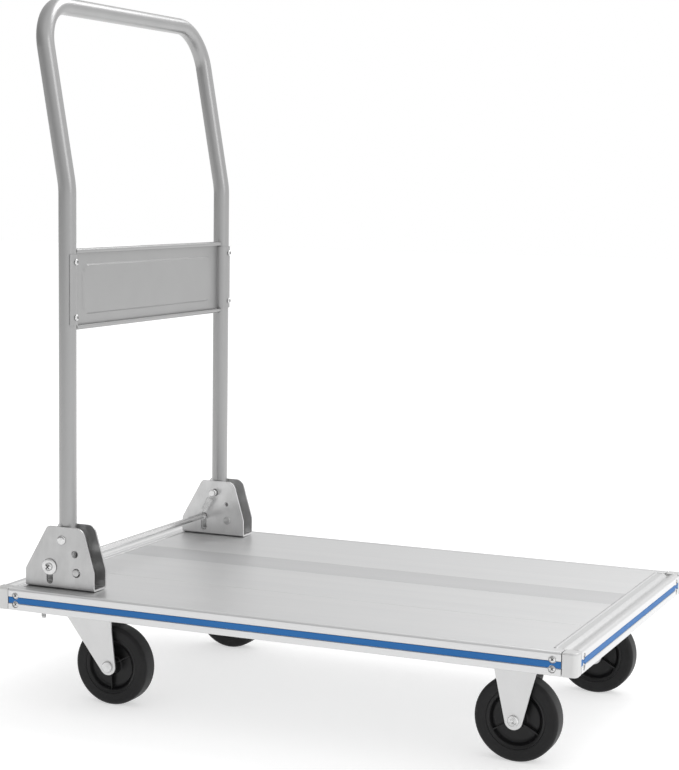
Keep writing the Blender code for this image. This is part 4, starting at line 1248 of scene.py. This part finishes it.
# %% Ribs and wheels
def rib(name, centre, angle, side):
    """A thin upright wall from the hub to the rim of the dish."""
    profile = [(9.8, 4.2), (9.8, 12.6), (12.5, 11.6), (24.0, 9.6), (29.0, 9.9), (31.3, 11.3), (31.3, 4.2)]
    direction = Vector((cos(angle), 0, sin(angle)))
    across = Vector((-sin(angle), 0, cos(angle)))
    places = [centre + (direction * radius + ALONG_Y * side * height - across * 0.7) * MM
              for radius, height in profile]
    return pushed(name, places, across * 1.4 * MM)


RIB_START = {"fixed": 90.0, "swivel": 30.0}
for kind, where in WHERE.items():
    for side_name in SIDES:
        body = f"{kind}_wheel_{side_name}"
        centre = node_middle(f"{kind}_tyre_{side_name}") * MM
        tyre = turned(f"{where}_tyre_{side_name}", tyre_profile(), centre, ALONG_Y, 96)
        settle(tyre, tyre_skin, body, "black_rubber", f"{kind}_tyre_{side_name}", smooth=35)
        core = turned(f"{where}_wheel_core_{side_name}", core_profile(), centre, ALONG_Y, 72)
        for face in (-1, 1):
            for third in range(3):
                drill(core, rib("rib", centre, radians(RIB_START[kind] + 120 * third), face), "UNION")
        soften(core, 0.3, 2, 50)
        settle(core, core_skin, body, "black_plastic", f"{kind}_wheel_core_{side_name}", smooth=35)
print("wheels done")

# %% [markdown]
# ## Floor
# The cart stands in a plain white studio.  The floor glows a little, so that it stays pale and still
# takes soft shadows under the wheels.  Its glow rises away from the cart, so that it runs into
# the white walls with no line between.

# %% Floor
let_go()
bpy.ops.mesh.primitive_plane_add(size=30, location=(0, 0, 0))
floor_sheet = adopt("studio_floor")
floor_paint = bpy.data.materials.new("Studio floor")
floor_paint.use_nodes = True
nodes, links = floor_paint.node_tree.nodes, floor_paint.node_tree.links
shader = nodes["Principled BSDF"]
shader.inputs["Base Color"].default_value = (*grey(0.62), 1)
shader.inputs["Roughness"].default_value = 0.9
shader.inputs["Specular IOR Level"].default_value = 0.0
shader.inputs["Emission Color"].default_value = (1, 1, 1, 1)
spot = nodes.new("ShaderNodeTexCoord")
reach = nodes.new("ShaderNodeVectorMath")
reach.operation = "LENGTH"
links.new(spot.outputs["Object"], reach.inputs[0])
glow = ranged(floor_paint.node_tree, reach.outputs["Value"], 0.55, 1.6, 0.52, 0.62, "SMOOTHSTEP")
links.new(glow, shader.inputs["Emission Strength"])
floor_sheet.data.materials.append(floor_paint)
print("floor:", floor_sheet.name)

# %% [markdown]
# ## World
# Metal shows what stands around it, so the walls aren't equally bright: they are brighter ahead of
# the cart, to its left and overhead, and dim behind it.  The three shares are added up and
# held at one.  The camera itself sees plain white, by way of Light Path.

# %% World
WALLS = {"X": (-0.6, 0.8, 0.34, 0.88), "Y": (-0.2, 0.7, 0.0, 0.28), "Z": (0.2, 0.8, 0.0, 0.30)}
world = bpy.data.worlds.new("Studio")
scene.world = world
world.use_nodes = True
nodes, links = world.node_tree.nodes, world.node_tree.links
walls = nodes["Background"]
walls.inputs["Color"].default_value = (1, 1, 1, 1)
toward = nodes.new("ShaderNodeTexCoord")
parts = nodes.new("ShaderNodeSeparateXYZ")
links.new(toward.outputs["Generated"], parts.inputs["Vector"])


def combined(operation, first, second):
    node = nodes.new("ShaderNodeMath")
    node.operation = operation
    links.new(first, node.inputs[0])
    if isinstance(second, float):
        node.inputs[1].default_value = second
    else:
        links.new(second, node.inputs[1])
    return node.outputs["Value"]


ahead, leftward, overhead = (ranged(world.node_tree, parts.outputs[axis], *span, "SMOOTHSTEP")
                             for axis, span in WALLS.items())
total = combined("ADD", combined("ADD", ahead, leftward), overhead)
links.new(combined("MINIMUM", total, 1.0), walls.inputs["Strength"])
backdrop = nodes.new("ShaderNodeBackground")
backdrop.inputs["Color"].default_value = (1, 1, 1, 1)
seen = nodes.new("ShaderNodeLightPath")
chosen = nodes.new("ShaderNodeMixShader")
links.new(seen.outputs["Is Camera Ray"], chosen.inputs[0])
links.new(walls.outputs["Background"], chosen.inputs[1])
links.new(backdrop.outputs["Background"], chosen.inputs[2])
links.new(chosen.outputs["Shader"], nodes["World Output"].inputs["Surface"])
scene.view_settings.view_transform = "Standard"
print("world nodes:", len(nodes))

# %% [markdown]
# ## Lights and camera
# A large soft box hangs over the far side of the cart and draws the long highlights on the tube.  A weak
# one stands on the right and lifts the near side.  The camera has a long lens and looks down on the near front
# corner.

# %% Lights and camera
def soft_light(name, place, target, size, power):
    data = bpy.data.lights.new(name, "AREA")
    data.shape = "RECTANGLE"
    data.size, data.size_y = size
    data.energy = power
    lamp = bpy.data.objects.new(name, data)
    scene.collection.objects.link(lamp)
    lamp.location = place
    lamp.rotation_euler = (Vector(target) - Vector(place)).to_track_quat("-Z", "Y").to_euler()


soft_light("Overhead soft box", (0.7, 1.7, 2.6), (0, 0, 0.2), (2.0, 1.4), 30)
soft_light("Right soft box", (2.5, -0.7, 1.6), (0, 0, 0.15), (1.2, 1.6), 8)

LENS, HEADING, DOWNWARD, TILT = 86.76, 23.59, 6.11, 0.78
camera_data = bpy.data.cameras.new("Camera")
camera_data.lens = LENS
camera = bpy.data.objects.new("Camera", camera_data)
scene.collection.objects.link(camera)
aim = Matrix.Rotation(radians(HEADING), 4, "Z") @ Matrix.Rotation(radians(90 - DOWNWARD), 4, "X")
camera.matrix_world = Matrix.Translation(mm(911.9, -2127.7, 645.3)) @ aim @ Matrix.Rotation(radians(TILT), 4, "Z")
scene.camera = camera
print("lens:", LENS, "mm")
